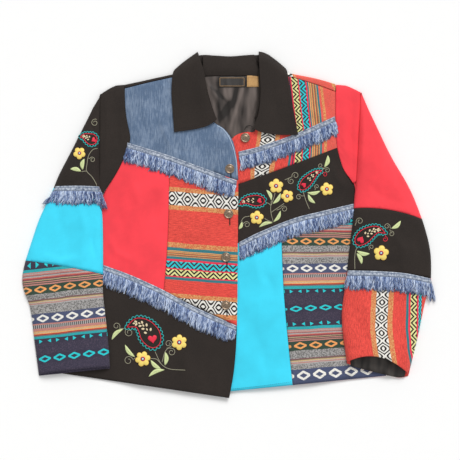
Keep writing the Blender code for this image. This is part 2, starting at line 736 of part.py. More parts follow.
def make_leaf(name, roll, edge, front, top, lift, tree):
    """Half of the collar's front, from its rolled edge out to its free edge, laid over the front."""
    rolled, outer = spread(roll, 12), spread(edge, 12)
    first, last = spread(front, 7), spread(top, 7)
    grid = coons(first, last, rolled, outer)
    x, y = grid[..., 0], grid[..., 1]
    under = np.array([[lie(tree, *point, otherwise=PLATEAU) for point in row] for row in grid])
    under = np.where(y > LEAF_ON_FRONT_Y, np.maximum(under, PLATEAU), under)
    height = under + lift + COLLAR_WALL
    from_roll = from_line(x, y, [tuple(point) for point in rolled])
    from_top = from_line(x, y, [tuple(point) for point in last])
    height = height + LEAF_RISE * (1 - step(from_roll, 0, LEAF_RISE_REACH))
    height = height - LEAF_ROLL_DIP * (1 - rounded(from_roll, LEAF_ROLL_ROUND))
    height = lerp(LEAF_REST, height, rounded(from_top, LEAF_TOP_ROUND))
    return wall(name, [raised(grid, height)], "black_twill", COLLAR_WALL, gap=0)


def make_stand():
    across = 4
    shares = np.linspace(0, 1, across + 1)
    seam, roll = (
        np.array([[row[f"{edge}_{axis}"] for axis in "xyz"] for row in STAND], float)
        for edge in ("seam", "roll")
    )
    bulge = np.array([row["bulge"] for row in STAND], float)
    grid = seam[:, None] + (roll - seam)[:, None] * shares[None, :, None]
    grid[..., 2] += bulge[:, None] * np.sin(math.pi * shares**0.7)[None]
    return wall("collar_stand", [grid], "black_twill", gap=0)


def make_fall():
    """The collar's back fall, folded under and flat on the surface."""
    upper, lower = spread(plan(FALL, "upper"), 14), spread(plan(FALL, "lower"), 14)
    grid = np.stack([upper, (upper + lower) / 2, lower])
    return wall("collar_fall", [raised(grid, 0.0)], "black_twill", FALL_WALL, faces_up=False, gap=0)


def make_neck():
    rows = curve([(row["y"], row["left"], row["right"]) for row in NECK_LINING], 2)
    shares = np.linspace(0, 1, 13)
    x = rows[:, 1:2] + (rows[:, 2:3] - rows[:, 1:2]) * shares
    y = np.broadcast_to(rows[:, 0:1], x.shape)
    height = back_rise(x, y) + WALL + 2 * SEAM_GAP + LINING_WALL + creased(x, y, LINING_CREASES)
    lining = wall("neck_lining", [np.dstack([x, y, height])], "satin_lining", LINING_WALL, gap=0)
    tree = tree_of([lining])
    for name, size in (("neck_label", NECK_LABEL), ("size_label", SIZE_LABEL)):
        across = np.linspace(size["left"], size["right"], 5)
        down = np.linspace(size["high"], size["low"], 3)
        grid = [[(a, b, lie(tree, a, b) + LAYER_GAP + LABEL_WALL) for a in across] for b in down]
        wall(name, [np.array(grid)], "label_weave", LABEL_WALL, gap=0)


def make_fringe(row, tree):
    """A ribbon whose lower edge carries locks of frayed thread, fused to it at their roots."""
    rng = random.Random(row["seed"])
    line = curve(row["route"], 12)
    length = np.append(0, np.cumsum(np.linalg.norm(np.diff(line, axis=0), axis=1)))
    locks = int(length[-1] / LOCK_PITCH)
    pitch = length[-1] / (locks - 1 + LOCK_SHARE)
    starts = [k * pitch for k in range(locks)]
    cuts = sorted(starts + [start + pitch * LOCK_SHARE for start in starts])
    lean = math.radians(row["lean"])
    down = Vector((math.sin(lean), -math.cos(lean), 0))
    gaps = (-SEAM_GAP, SEAM_GAP)

    def at(distance):
        return Vector((*(np.interp(distance, length, line[:, k]) for k in (0, 1)), 0))

    def over(point, height):
        near = [lie(tree, point.x + a, point.y + b) for a in gaps for b in gaps]
        rest = max(near) or lie(tree, *at(length[-1] / 2).xy, PLATEAU)
        return Vector((point.x, point.y, rest + height)) * MM

    bm = bmesh.new()
    columns = []
    for cut in cuts:
        upper = at(cut)
        lower = upper + down * RIBBON_WIDTH
        top = LAYER_GAP + RIBBON_WALL
        corners = ((upper, top), (lower, top), (lower, LAYER_GAP), (upper, LAYER_GAP))
        columns.append([bm.verts.new(over(*corner)) for corner in corners])
    for number, (a, b) in enumerate(zip(columns, columns[1:])):
        for k in (0, 2, 3):
            bm.faces.new((a[k], a[(k + 1) % 4], b[(k + 1) % 4], b[k]))
        if number % 2:
            bm.faces.new((a[1], a[2], b[2], b[1]))
    bm.faces.new(columns[0][::-1])
    bm.faces.new(columns[-1])
    for number in range(locks):
        a, b = columns[2 * number], columns[2 * number + 1]
        ring = [a[1], a[2], b[2], b[1]]
        middle = (at(cuts[2 * number]) + at(cuts[2 * number + 1])) / 2 + down * RIBBON_WIDTH
        swing = rng.uniform(-1.0, 1.0)
        fall = row["length"] * rng.uniform(0.86, 1.08)
        side = Vector((-down.y, down.x, 0))
        for share, width, thick, lift in LOCK_RINGS:
            centre = middle + down * fall * share + side * swing * share * pitch * LOCK_SWING
            half = side * pitch * width / 2
            near, far, top = centre - half, centre + half, lift + thick
            corners = ((near, top), (near, lift), (far, lift), (far, top))
            new = [bm.verts.new(over(*corner)) for corner in corners]
            for k in range(4):
                bm.faces.new((ring[k], new[k], new[(k + 1) % 4], ring[(k + 1) % 4]))
            ring = new
        bm.faces.new(ring)
    bmesh.ops.recalc_face_normals(bm, faces=bm.faces)
    mesh = bpy.data.meshes.new(row["name"])
    bm.to_mesh(mesh)
    bm.free()
    return link(row["name"], mesh, "denim_fringe")


def make_button(row, tree):
    """A turned metal button with a raised rim and a domed middle."""
    profile = (
        (0.0, 1.0),
        (0.45, 0.95),
        (0.68, 0.7),
        (0.8, 0.72),
        (0.93, 0.9),
        (1.0, 0.6),
        (0.95, 0.12),
        (0.82, 0.0),
        (0.0, 0.0),
    )
    mesh = bpy.data.meshes.new(row["name"])
    points = [(radius * BUTTON_RADIUS * MM, 0, height * BUTTON_HEIGHT * MM) for radius, height in profile]
    mesh.from_pydata(points, [(k, k + 1) for k in range(len(points) - 1)], [])
    button = link(row["name"], mesh, "antique_brass")
    x, y = row["x"], row["y"]
    around = [(x + BUTTON_RADIUS * math.cos(k), y + BUTTON_RADIUS * math.sin(k)) for k in range(7)]
    rest = max(lie(tree, *point) for point in [*around, (x, y)])
    button.location = Vector((x, y, rest + SEAM_GAP)) * MM
    screw = button.modifiers.new("turn", "SCREW")
    screw.steps = screw.render_steps = BUTTON_STEPS
    screw.use_merge_vertices = True
    screw.merge_threshold = 0.00005
    return button


def shoulder_edge(front, left):
    """The shoulder seam of a front, from the neck out."""
    line = front[:1, ::-1]
    return raised(line, front_top(line[..., 0], line[..., 1], left))[0]


def main():
    for obj in list(bpy.data.objects):
        bpy.data.objects.remove(obj)
    jacket = bpy.data.collections.new("patchwork_jacket")
    bpy.context.scene.collection.children.link(jacket)

    left, right, lefts, rights = make_fronts()
    left_sides, right_sides = left[:, 0], right[:, 0]
    left_pit = row_number(LEFT_FRONT, "pit")
    right_pit = row_number(RIGHT_FRONT, "pit")
    left_under, right_under = left_sides.copy(), right_sides.copy()
    left_under[0] = np.array(LEFT_SHOULDER_FOLD[0]) - FOLD_REACH
    right_under[0] = np.array(RIGHT_SHOULDER_FOLD[0]) - FOLD_REACH
    left_edge, right_edge = shoulder_edge(left, True), shoulder_edge(right, False)
    make_back("back_left", left_under, LEFT_BACK_NECK, LEFT_SHOULDER_FOLD, left_edge, "black_twill")
    make_back("back_right", right_under, RIGHT_BACK_NECK, RIGHT_SHOULDER_FOLD, right_edge, "ikat_weave")
    make_neck()
    corner = LEFT_SHOULDER_CORNER
    make_gusset("sleeve_l_gusset", left_sides, corner, LEFT_CREASE, left_pit, True, "black_twill")
    corner = RIGHT_SHOULDER_CORNER
    make_gusset("sleeve_r_gusset", right_sides, corner, RIGHT_CREASE, right_pit, False, "red_twill")
    left_sleeve = make_left_sleeve(left_under, left_pit)
    right_sleeve = make_right_sleeve(right_under, right_pit)
    left_tree, right_tree = tree_of(lefts + rights), tree_of(rights)
    edges = (LEFT_ROLL, LEFT_LEAF_EDGE, LEFT_LEAF_FRONT, LEFT_LEAF_TOP)
    make_leaf("collar_leaf_l", *edges, LEFT_LEAF_LIFT, left_tree)
    edges = (RIGHT_ROLL, RIGHT_LEAF_EDGE, RIGHT_LEAF_FRONT, RIGHT_LEAF_TOP)
    make_leaf("collar_leaf_r", *edges, RIGHT_LEAF_LIFT, right_tree)
    make_stand()
    make_fall()
    sleeve_trees = (tree_of(left_sleeve), tree_of(right_sleeve))
    for row, tree in zip(FRINGES, (left_tree, left_tree, right_tree, right_tree, *sleeve_trees)):
        make_fringe(row, tree)
    for row in BUTTONS:
        make_button(row, right_tree if row["name"] == "button_1" else left_tree)
    for obj in jacket.objects:
        obj.location += Vector((*CENTRING, 0)) * MM


main()
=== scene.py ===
import math
import random

import bmesh
import bpy
import numpy as np
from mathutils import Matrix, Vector
from mathutils.bvhtree import BVHTree
from mathutils.kdtree import KDTree


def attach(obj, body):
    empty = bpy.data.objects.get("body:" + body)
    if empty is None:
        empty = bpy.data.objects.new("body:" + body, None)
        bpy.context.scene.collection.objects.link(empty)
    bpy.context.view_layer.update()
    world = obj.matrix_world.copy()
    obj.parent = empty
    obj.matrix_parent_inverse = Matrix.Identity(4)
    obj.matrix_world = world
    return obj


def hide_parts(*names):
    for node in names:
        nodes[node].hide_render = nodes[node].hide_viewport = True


mm = 0.001
chance = random.Random(11)
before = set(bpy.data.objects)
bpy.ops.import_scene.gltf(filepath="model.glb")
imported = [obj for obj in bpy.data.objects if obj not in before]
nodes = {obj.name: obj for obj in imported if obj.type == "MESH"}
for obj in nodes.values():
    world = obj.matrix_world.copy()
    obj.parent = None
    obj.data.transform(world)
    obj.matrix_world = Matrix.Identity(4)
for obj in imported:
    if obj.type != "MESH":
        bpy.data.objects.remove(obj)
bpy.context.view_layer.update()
print("solids loaded")


# Shader maths
class Value:
    def __init__(self, graph, socket):
        self.graph = graph
        self.socket = socket

    def maths(self, operation, *values):
        return self.graph.add("ShaderNodeMath", {"operation": operation}, dict(enumerate(values)))

    def __add__(self, other):
        return self.maths("ADD", self, other)

    def __sub__(self, other):
        return self.maths("SUBTRACT", self, other)

    def __mul__(self, other):
        return self.maths("MULTIPLY", self, other)

    def __truediv__(self, other):
        return self.maths("DIVIDE", self, other)

    def __rsub__(self, other):
        return self.maths("SUBTRACT", other, self)

    def __rtruediv__(self, other):
        return self.maths("DIVIDE", other, self)

    __radd__ = __add__
    __rmul__ = __mul__

    def over(self, limit):
        return self.maths("GREATER_THAN", self, limit)

    def under(self, limit):
        return self.maths("LESS_THAN", self, limit)

    def size(self):
        return self.maths("ABSOLUTE", self)

    def part(self):
        return self.maths("FRACT", self)

    def wave(self):
        return self.maths("SINE", self)

    def hump(self):  # 1 in the middle, softly down to 0 on both sides
        return 1.0 / (self * self * self * self + 1.0)

    def zigzag(self, period):  # 0 to 1 and back once a period
        return ((self / period).part() - 0.5).size() * 2


class Graph:
    def __init__(self, name):
        self.material = bpy.data.materials.new(name)
        self.material.use_nodes = True
        self.tree = self.material.node_tree
        self.tree.nodes.clear()

    def add(self, kind, settings=None, inputs=None, output=0):
        node = self.tree.nodes.new(kind)
        for key, value in (settings or {}).items():
            setattr(node, key, value)
        for key, value in (inputs or {}).items():
            if isinstance(value, Value):
                self.tree.links.new(value.socket, node.inputs[key])
            else:
                node.inputs[key].default_value = value
        return Value(self, node.outputs[output]) if node.outputs else None

    def mix(self, share, first, second, blend="MIX"):
        first, second = (c if isinstance(c, Value) else (*c, 1) for c in (first, second))
        settings = {"data_type": "RGBA", "blend_type": blend}
        return self.add("ShaderNodeMix", settings, {0: share, 6: first, 7: second}, output=2)

    def place(self):  # a point of the piece, in millimetres
        coords = self.add("ShaderNodeTexCoord", output=3)
        return self.add("ShaderNodeVectorMath", {"operation": "SCALE"}, {0: coords, 3: 1000.0})

    def axes(self, vector):
        return [self.add("ShaderNodeSeparateXYZ", None, {0: vector}, output=k) for k in range(3)]

    def noise(self, vector, scale, detail=2.0, stretch=(1, 1, 1)):
        if stretch != (1, 1, 1):
            vector = self.add("ShaderNodeVectorMath", {"operation": "MULTIPLY"}, {0: vector, 1: stretch})
        return self.add("ShaderNodeTexNoise", None, {"Vector": vector, "Scale": scale, "Detail": detail})

    def weaveAxes(self):  # along and across the stripes, in millimetres
        uv = self.add("ShaderNodeUVMap", {"uv_map": "weave"})
        along, across, _ = self.axes(uv)
        return along * 1000, across * 1000

    def finish(self, colour, roughness, bump=None, depth=0.1, metallic=0.0, sheen=0.0, specular=0.5):
        fixed = {"Sheen Weight": sheen, "Sheen Roughness": 0.5, "Specular IOR Level": specular}
        fixed.update({"Metallic": metallic, "Roughness": roughness})
        fixed["Base Color"] = colour if isinstance(colour, Value) else (*colour, 1)
        if bump is not None:
            raised = {"Height": bump, "Strength": 0.6, "Distance": depth * mm}
            fixed["Normal"] = self.add("ShaderNodeBump", None, raised)
        shader = self.add("ShaderNodeBsdfPrincipled", None, fixed)
        self.add("ShaderNodeOutputMaterial", None, {"Surface": shader})
        return self.material


# Cloth finishes
clothColours = {
    "ink": (0.0235, 0.0172, 0.014),
    "denimDeep": (0.1, 0.155, 0.25),
    "denimPale": (0.28, 0.355, 0.475),
    "coral": (0.93, 0.052, 0.072),
    "turquoise": (0.045, 0.665, 0.89),
    "heather": (0.84, 0.085, 0.064),
    "heatherDark": (0.45, 0.035, 0.03),
    "salmon": (0.7, 0.12, 0.09),
    "gold": (0.7, 0.35, 0.13),
    "goldDark": (0.6, 0.15, 0.065),
    "olive": (0.2, 0.18, 0.1),
    "teal": (0.035, 0.19, 0.22),
    "tealBright": (0.022, 0.58, 0.62),
    "tealBand": (0.025, 0.37, 0.4),
    "pink": (0.8, 0.035, 0.08),
    "lime": (0.76, 0.75, 0.32),
    "white": (0.82, 0.8, 0.74),
    "black": (0.018, 0.014, 0.013),
    "navy": (0.04, 0.035, 0.06),
    "navyPale": (0.085, 0.065, 0.1),
    "blue": (0.07, 0.085, 0.16),
    "green": (0.035, 0.065, 0.045),
    "orange": (0.84, 0.36, 0.12),
    "grey": (0.4, 0.385, 0.375),
    "greyDark": (0.15, 0.145, 0.14),
    "rose": (0.5, 0.22, 0.19),
    "dusk": (0.2, 0.09, 0.1),
    "sand": (0.6, 0.42, 0.24),
}


def clothGrain(graph, colour, place, along, across, settings):
    # yarns a little lighter and darker than their neighbours, and a woven surface
    fine = graph.noise(place, settings.get("pitch", 0.9), 2.0)
    broad = graph.noise(place, 0.02, 3.0)
    shade = (fine - 0.5) * settings["speckle"] + (broad - 0.5) * settings.get("mottle", 0.15) + 1.0
    colour = graph.mix(1.0, colour, shade, "MULTIPLY")
    pitch = settings["yarn"]
    if settings["twill"]:
        woven = ((along + across) * (2 * math.pi / pitch)).wave()
    else:
        woven = (along * (2 * math.pi / pitch)).wave() * (across * (2 * math.pi / pitch)).wave()
    bump = woven * 0.5 + fine * 1.2
    return graph.finish(colour, settings["roughness"], bump, settings["depth"], sheen=settings["sheen"], specular=0.3)


plainCloths = {
    "black_twill": dict(
        colour="ink", speckle=0.75, pitch=0.55, yarn=1.4, twill=True, roughness=0.85, depth=0.2, sheen=0.03, mottle=0.7
    ),
    "red_twill": dict(
        colour="coral", speckle=0.1, yarn=1.4, twill=True, roughness=0.75, depth=0.12, sheen=0.05, mottle=0.5
    ),
    "turquoise_twill": dict(
        colour="turquoise", speckle=0.1, yarn=1.4, twill=True, roughness=0.75, depth=0.12, sheen=0.05, mottle=0.4
    ),
}


def makePlainCloth(name):
    settings = plainCloths[name]
    graph = Graph(name)
    place = graph.place()
    along, across, _ = graph.axes(place)
    return clothGrain(graph, clothColours[settings["colour"]], place, along, across, settings)


denimLook = dict(
    streak=(1.0, 0.16, 1.0), speckle=0.45, pitch=0.6, yarn=1.5, twill=True, roughness=0.85, depth=0.2, sheen=0.1,
    mottle=0.35,
)


def makeDenim(name):
    graph = Graph(name)
    place = graph.place()
    along, across, _ = graph.axes(place)
    slubs = graph.noise(place, 0.42, 3.0, denimLook["streak"])
    worn = graph.noise(place, 0.03, 3.0)
    share = (slubs - 0.4) * 1.7 + (worn - 0.5) * 1.5
    colour = graph.mix(share, clothColours["denimDeep"], clothColours["denimPale"])
    return clothGrain(graph, colour, place, along, across, denimLook)


weaveOrigin = (407.6, 404.1)  # how far left of and above the middle the stripes are counted from


# Striped weaves: each stripe is its kind, its two colours, and where it ends across the weave
def plain(colour, end):
    return ("plain", colour, colour, end)


def lines(start, end, colours):  # narrow plain stripes, uneven in width
    names = colours.split()
    weights = [(1.0, 0.72, 1.2, 0.6, 0.9)[k % 5] for k in range(len(names))]
    ends = np.cumsum(weights) / sum(weights) * (end - start) + start
    return [plain(name, round(float(at), 2)) for name, at in zip(names, ends)]


goldLines = "orange olive gold heatherDark olive gold heatherDark olive orange"
roseLines = "rose grey rose dusk grey rose heatherDark dusk sand green rose green rose"
thinLines = "dusk olive sand grey rose grey"
goldRows = "rose gold sand orange heatherDark greyDark"
heather = ("heather", "heather", "heatherDark")
salmon = ("heather", "salmon", "heather")
nested = ("nested", "white", "black")
goldBand = ("melange", "gold", "goldDark")
lime = ("chevron", "lime", "black")
teals = ("chevron", "tealBright", "navy")

weaves = {
    "ikat_across": dict(
        start=270,
        rows=[(*heather, 340.9), (*goldBand, 348.7), (*nested, 373.1), (*goldBand, 381.6)]
        + [(*heather, 440.3), (*goldBand, 449.1), plain("teal", 454.7)]
        + lines(454.7, 465.1, goldLines)
        + [plain("teal", 469.8), plain("pink", 473.4), (*teals, 486), plain("pink", 488.2)]
        + [(*lime, 499.9), plain("pink", 502), plain("teal", 506.9), (*heather, 531.5)]
        + [(*goldBand, 539.3), (*nested, 563.8), (*goldBand, 572.4), (*heather, 648)],
    ),
    "ikat_down": dict(
        start=405,
        rows=[(*heather, 462.6), (*goldBand, 469.8), (*nested, 495), (*goldBand, 502.2)]
        + [(*heather, 521.3), plain("teal", 524.9), plain("pink", 527.4), plain("navy", 529.2)]
        + [plain("pink", 531.4), (*lime, 542.2), plain("pink", 544.3), (*teals, 555.5)]
        + [plain("pink", 558), plain("teal", 560.5)]
        + lines(560.5, 574.6, goldLines)
        + [plain("teal", 578.2), (*salmon, 581.9), (*goldBand, 586.8), (*salmon, 684)],
    ),
    "ikat_shoulder": dict(
        start=486,
        rows=[(*nested, 532.8), (*goldBand, 537.3), (*salmon, 595.8), (*goldBand, 605.7)]
        + [(*salmon, 720)],
    ),
    "ikat_cuff": dict(
        start=594,
        rows=[(*heather, 667.8), (*goldBand, 676.8), (*nested, 698.4), (*goldBand, 707.4)]
        + [(*heather, 730.8), plain("teal", 735.3), plain("pink", 738.9), (*lime, 750.6)]
        + [plain("pink", 753.5), (*teals, 759.2), (*heather, 810)],
    ),
    "stripe_panel": dict(
        start=369,
        rows=[plain("navy", 392.4), ("ticks", "tealBright", "navy", 401.4), plain("tealBand", 405)]
        + lines(405, 427.5, roseLines)
        + [("rings", "orange", "green", 442.3), ("melange", "grey", "greyDark", 453.6)]
        + lines(453.6, 464.4, thinLines)
        + [("melange", "grey", "greyDark", 475.2), ("rings", "white", "blue", 492.7)]
        + [plain("rose", 495), ("comb", "grey", "black", 500.4), plain("rose", 504)]
        + lines(504, 515.7, goldRows)
        + [plain("tealBand", 520.7), ("ticks", "tealBright", "navy", 529.2), plain("navy", 549)]
        + [("rings", "tealBright", "navy", 563.4), plain("navy", 579.6)]
        + [("ticks", "tealBright", "navy", 588.6), plain("tealBand", 594)]
        + lines(594, 614.7, roseLines)
        + [("rings", "orange", "green", 631.8), ("melange", "grey", "greyDark", 646.2)]
        + lines(646.2, 657, thinLines)
        + [("melange", "grey", "greyDark", 666), ("rings", "white", "blue", 689.4), plain("blue", 738)],
    ),
    "stripe_cuff": dict(
        start=432,
        rows=[plain("navy", 464.4), ("ticks", "tealBright", "navy", 479.7), plain("tealBand", 485.1)]
        + lines(485.1, 508.9, roseLines)
        + [("rings", "orange", "green", 524.7), ("melange", "grey", "greyDark", 534.6)]
        + lines(534.6, 544.5, thinLines)
        + [("melange", "grey", "greyDark", 560.7), ("rings", "white", "blue", 578.7)]
        + [plain("rose", 581.2), ("comb", "grey", "black", 587.2), plain("rose", 589.7)]
        + lines(589.7, 601.2, goldRows)
        + [plain("tealBand", 605.5), ("ticks", "tealBright", "navy", 614.7), plain("navy", 633.6)]
        + [("rings", "tealBright", "navy", 649.8), plain("navy", 720)],
    ),
}
repeats = {"chevron": 20.0, "nested": 24.0, "rings": 27.0, "ticks": 15.5, "comb": 3.6}


def stripeColour(graph, kind, figure, ground, width, along, down, streaks, flecks):
    figure, ground = clothColours[figure], clothColours[ground]
    across = down / width
    middle = (across - 0.5).size() * 2
    if kind == "heather":
        return graph.mix((streaks - 0.4) * 2.6, figure, ground)
    if kind == "melange":
        return graph.mix((flecks - 0.44) * 7.5, figure, ground)
    if kind == "chevron":
        mask = ((across + along.zigzag(repeats[kind]) * 0.95) * 1.55).part().under(0.52)
    elif kind == "nested":
        swing = along.zigzag(repeats[kind])
        swing = swing * swing * (3.0 - swing * 2.0)
        mask = ((middle * 0.9 + swing * 1.15) * 1.65 + 0.18).part().under(0.52)
    elif kind == "rings":
        away = (along / repeats[kind]).part() - 0.5
        reach = (away * (repeats[kind] / 13.0)).size() + middle * 1.32
        blunt = (away * (repeats[kind] / 11.0)).size()
        mask = reach.under(1.08) * blunt.under(1.0) * middle.under(0.76) * reach.over(0.52)
    elif kind == "ticks":
        away = ((along / repeats[kind]).part() - 0.5) * repeats[kind]
        turned = (along / (repeats[kind] * 2)).part().over(0.5) * 2.0 - 1.0
        share = away * turned / 6.4 + 0.5
        mask = middle.under(share * 0.75) * share.under(1.0)
    elif kind == "comb":
        mask = (along / repeats[kind]).part().under(0.6)
    return graph.mix(mask, ground, figure)


weaveLook = dict(speckle=0.7, pitch=0.55, yarn=1.6, twill=False, roughness=0.9, depth=0.3, sheen=0.08, mottle=0.25)


def makeWeave(name):
    graph = Graph(name)
    place = graph.place()
    along, across = graph.weaveAxes()
    wander = (graph.noise(place, 0.022, 1.0) - 0.5) * 3.0
    across = across + wander
    drawn = graph.add("ShaderNodeCombineXYZ", None, {0: along * 0.16, 1: across})
    streaks = graph.noise(drawn, 0.75, 3.0)
    flecks = graph.noise(place, 0.5, 2.0)
    colour, at = clothColours["heather"], weaves[name]["start"]
    for kind, figure, ground, end in weaves[name]["rows"]:
        if kind == "plain" and figure == "navy":
            stripe = graph.mix((flecks - 0.46) * 4.0, clothColours["navy"], clothColours["navyPale"])
        elif kind == "plain":
            stripe = clothColours[figure]
        else:
            stripe = stripeColour(graph, kind, figure, ground, end - at, along, across - at, streaks, flecks)
        colour = graph.mix(across.over(at), colour, stripe)
        at = end
    return clothGrain(graph, colour, place, along, across, weaveLook)


# The lining's dark base colour; a still darker copy of it, painted shade for the lining deep in the right cuff's mouth;
# and how many times brighter the painted sheen on the folds is
satinLook = dict(
    satin_lining=(0.018, 0.0145, 0.013), satin_painted_shade=(0.01, 0.0085, 0.0075), pale=9.5, roughness=0.42, depth=0.05
)
# Painted light and shade on the lining's folds: a line from one point to another, its half width, and how much paler
# (painted highlight) or darker (painted shade) the cloth is painted there. The last band is a painted shadow under the
# labels.
satinPaintedFoldLight = [
    ((-36.8, 263.7), (-17, 188.1), 3.2, 0.34), ((-26, 245.7), (2.8, 220.5), 2.6, -0.36),
    ((1, 245.7), (4.6, 224.1), 8.0, 0.3),
    ((19, 245.7), (12.7, 220.5), 3.4, -0.5), ((12.7, 224.1), (-12.5, 189.9), 6.2, -0.55),
    ((28.9, 245.7), (7.3, 173.7), 3.0, 0.42), ((35.2, 245.7), (21.7, 173.7), 3.4, -0.12),
    ((48.7, 245.7), (42.4, 177.3), 8.5, 0.28),
    ((-4.4, 252.9), (53.2, 252.9), 5.0, -0.3),
]


def makeSatin(name):
    graph = Graph(name)
    place = graph.place()
    fine = graph.noise(place, 0.5, 2.0, (1, 0.1, 1))
    across, up, _ = graph.axes(place)
    # broad streaks of painted sheen and painted shade along the lining
    share = (graph.noise(place, 0.085, 1.0, (1, 0.24, 1)) - 0.5) * 1.5 + 0.36
    # each fold adds its painted highlight or painted shade
    for (x0, y0), (x1, y1), half, strength in satinPaintedFoldLight if name == "satin_lining" else []:
        length = math.hypot(x1 - x0, y1 - y0)
        dx, dy = (x1 - x0) / length, (y1 - y0) / length
        along = (across - (x0 + x1) / 2) * dx + (up - (y0 + y1) / 2) * dy
        aside = (across - x0) * dy - (up - y0) * dx
        share = share + (aside / half).hump() * (along * (1.7 / length)).hump() * strength
    colour = graph.mix(share, satinLook[name], tuple(c * satinLook["pale"] for c in satinLook[name]))
    return graph.finish(colour, satinLook["roughness"], fine, satinLook["depth"], specular=0.3)


threadColours = {
    "yellow": (0.9, 0.7, 0.17),
    "amber": (0.82, 0.5, 0.1),
    "crimson": (0.78, 0.025, 0.06),
    "palest": (0.6, 0.74, 0.82),
    "leaf": (0.62, 0.7, 0.34),
    "vein": (0.26, 0.3, 0.13),
    "stem": (0.36, 0.34, 0.24),
    "scallop": (0.025, 0.46, 0.46),
    "cream": (0.74, 0.62, 0.4),
    "inkThread": (0.012, 0.01, 0.009),
    "paleThread": (0.42, 0.52, 0.66),
    "goldThread": (0.45, 0.26, 0.1),
    "navyThread": (0.02, 0.03, 0.08),
}


def makeThread(name):
    graph = Graph("thread_" + name)
    place = graph.place()
    fine = graph.noise(place, 1.1, 1.0, (1, 0.35, 1))
    shade = (fine - 0.5) * 0.5 + 1.0
    colour = graph.mix(1.0, threadColours[name], shade, "MULTIPLY")
    return graph.finish(colour, 0.5, fine, 0.25, sheen=0.04, specular=0.35)


frayLook = dict(deep=(0.03, 0.058, 0.17), middle=(0.19, 0.285, 0.52), pale=(0.7, 0.79, 0.93), roughness=0.85)


def makeFrayFinish(name):
    graph = Graph(name)
    # each point's tone: random per strand, with painted shade laid in where strands lie low or in the under layer
    tint_and_shade = graph.add("ShaderNodeAttribute", {"attribute_name": "tint_and_shade"}, output=2)
    lower = graph.mix(tint_and_shade * 2, frayLook["deep"], frayLook["middle"])
    colour = graph.mix(tint_and_shade * 2 - 1.0, lower, frayLook["pale"])
    return graph.finish(colour, frayLook["roughness"], graph.noise(graph.place(), 2.0), 0.1, sheen=0.2)


ribbonLook = dict(deep=(0.09, 0.125, 0.2), pale=(0.58, 0.63, 0.71), roughness=0.85)


def makeRibbonFinish(name):
    graph = Graph(name)
    along, across = graph.weaveAxes()
    place = graph.place()
    dashes = ((across - 5.4).size() - 2.9).size().under(0.7)
    ribs = (along * 2.6).wave() * 0.5 + 0.5
    worn = graph.noise(place, 0.25, 3.0)
    colour = graph.mix((worn - 0.36) * 2.6 + ribs * 0.25, ribbonLook["deep"], ribbonLook["pale"])
    colour = graph.mix(dashes * 0.8, colour, ribbonLook["deep"])
    return graph.finish(colour, ribbonLook["roughness"], worn + ribs, 0.35, sheen=0.05)


brassLook = dict(dark=(0.15, 0.1, 0.065), bright=(0.56, 0.44, 0.33), roughness=0.38)


def makeBrass(name):
    graph = Graph(name)
    place = graph.place()
    worn = graph.noise(place, 0.9, 3.0)
    colour = graph.mix((worn - 0.35) * 2.2, brassLook["dark"], brassLook["bright"])
    rough = (worn - 0.5) * 0.3 + brassLook["roughness"]
    return graph.finish(colour, rough, worn, 0.15, metallic=0.9)


wovenLook = dict(neck_label=(0.013, 0.011, 0.01), size_label=(0.3, 0.17, 0.06), pick=2.4, roughness=0.55)


def makeLabel(name):
    graph = Graph(name)
    place = graph.place()
    along, across, _ = graph.axes(place)
    ribs = (across * (2 * math.pi / 1.1)).wave() * 0.5 + graph.noise(place, 1.6, 1.0, (1, 0.3, 1))
    colour = graph.mix(ribs, wovenLook[name], tuple(c * wovenLook["pick"] for c in wovenLook[name]))
    return graph.finish(colour, wovenLook["roughness"], ribs, 0.15, sheen=0.05)


materials = {name: makePlainCloth(name) for name in plainCloths}
materials.update({name: makeWeave(name) for name in weaves})
materials["denim"] = makeDenim("denim")
materials.update({name: makeSatin(name) for name in ("satin_lining", "satin_painted_shade")})
materials.update({name: makeLabel(name) for name in ("neck_label", "size_label")})
materials["fray"] = makeFrayFinish("denim_fray")
materials["ribbon"] = makeRibbonFinish("denim_ribbon")
materials["brass"] = makeBrass("antique_brass")
threads = {name: makeThread(name) for name in threadColours}
print("finishes made")


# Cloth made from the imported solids: the same upper faces, smoother, with finer creases
def pick(obj):
    bpy.ops.object.select_all(action="DESELECT")
    obj.select_set(True)
    bpy.context.view_layer.objects.active = obj


def applyAll(obj):
    pick(obj)
    for modifier in list(obj.modifiers):
        bpy.ops.object.modifier_apply(modifier=modifier.name)


def newPiece(name, mesh, material, replaced=()):
    obj = bpy.data.objects.new(name, mesh)
    bpy.context.scene.collection.objects.link(obj)
    mesh.materials.clear()
    mesh.materials.append(material)
    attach(obj, "root")
    if replaced:
        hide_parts(*replaced)
    return obj


def smoothed(obj, levels):
    smooth = obj.modifiers.new("smooth", "SUBSURF")
    smooth.levels = smooth.render_levels = levels
    return smooth


def thickened(obj, wall):  # its wall lies below the faces it has
    solid = obj.modifiers.new("wall", "SOLIDIFY")
    solid.thickness = wall * mm
    solid.offset = -1


def pointsOf(mesh):
    points = np.empty(len(mesh.vertices) * 3)
    mesh.vertices.foreach_get("co", points)
    return points.reshape(-1, 3) / mm


def setPoints(mesh, points):
    mesh.vertices.foreach_set("co", (points * mm).ravel())
    mesh.update()


def solidCopy(node):
    bm = bmesh.new()
    bm.from_mesh(nodes[node].data)
    bmesh.ops.remove_doubles(bm, verts=bm.verts, dist=0.01 * mm)
    bm.normal_update()
    return bm


def joinTriangles(bm):
    bmesh.ops.join_triangles(bm, faces=bm.faces, angle_face_threshold=3.1, angle_shape_threshold=3.1)


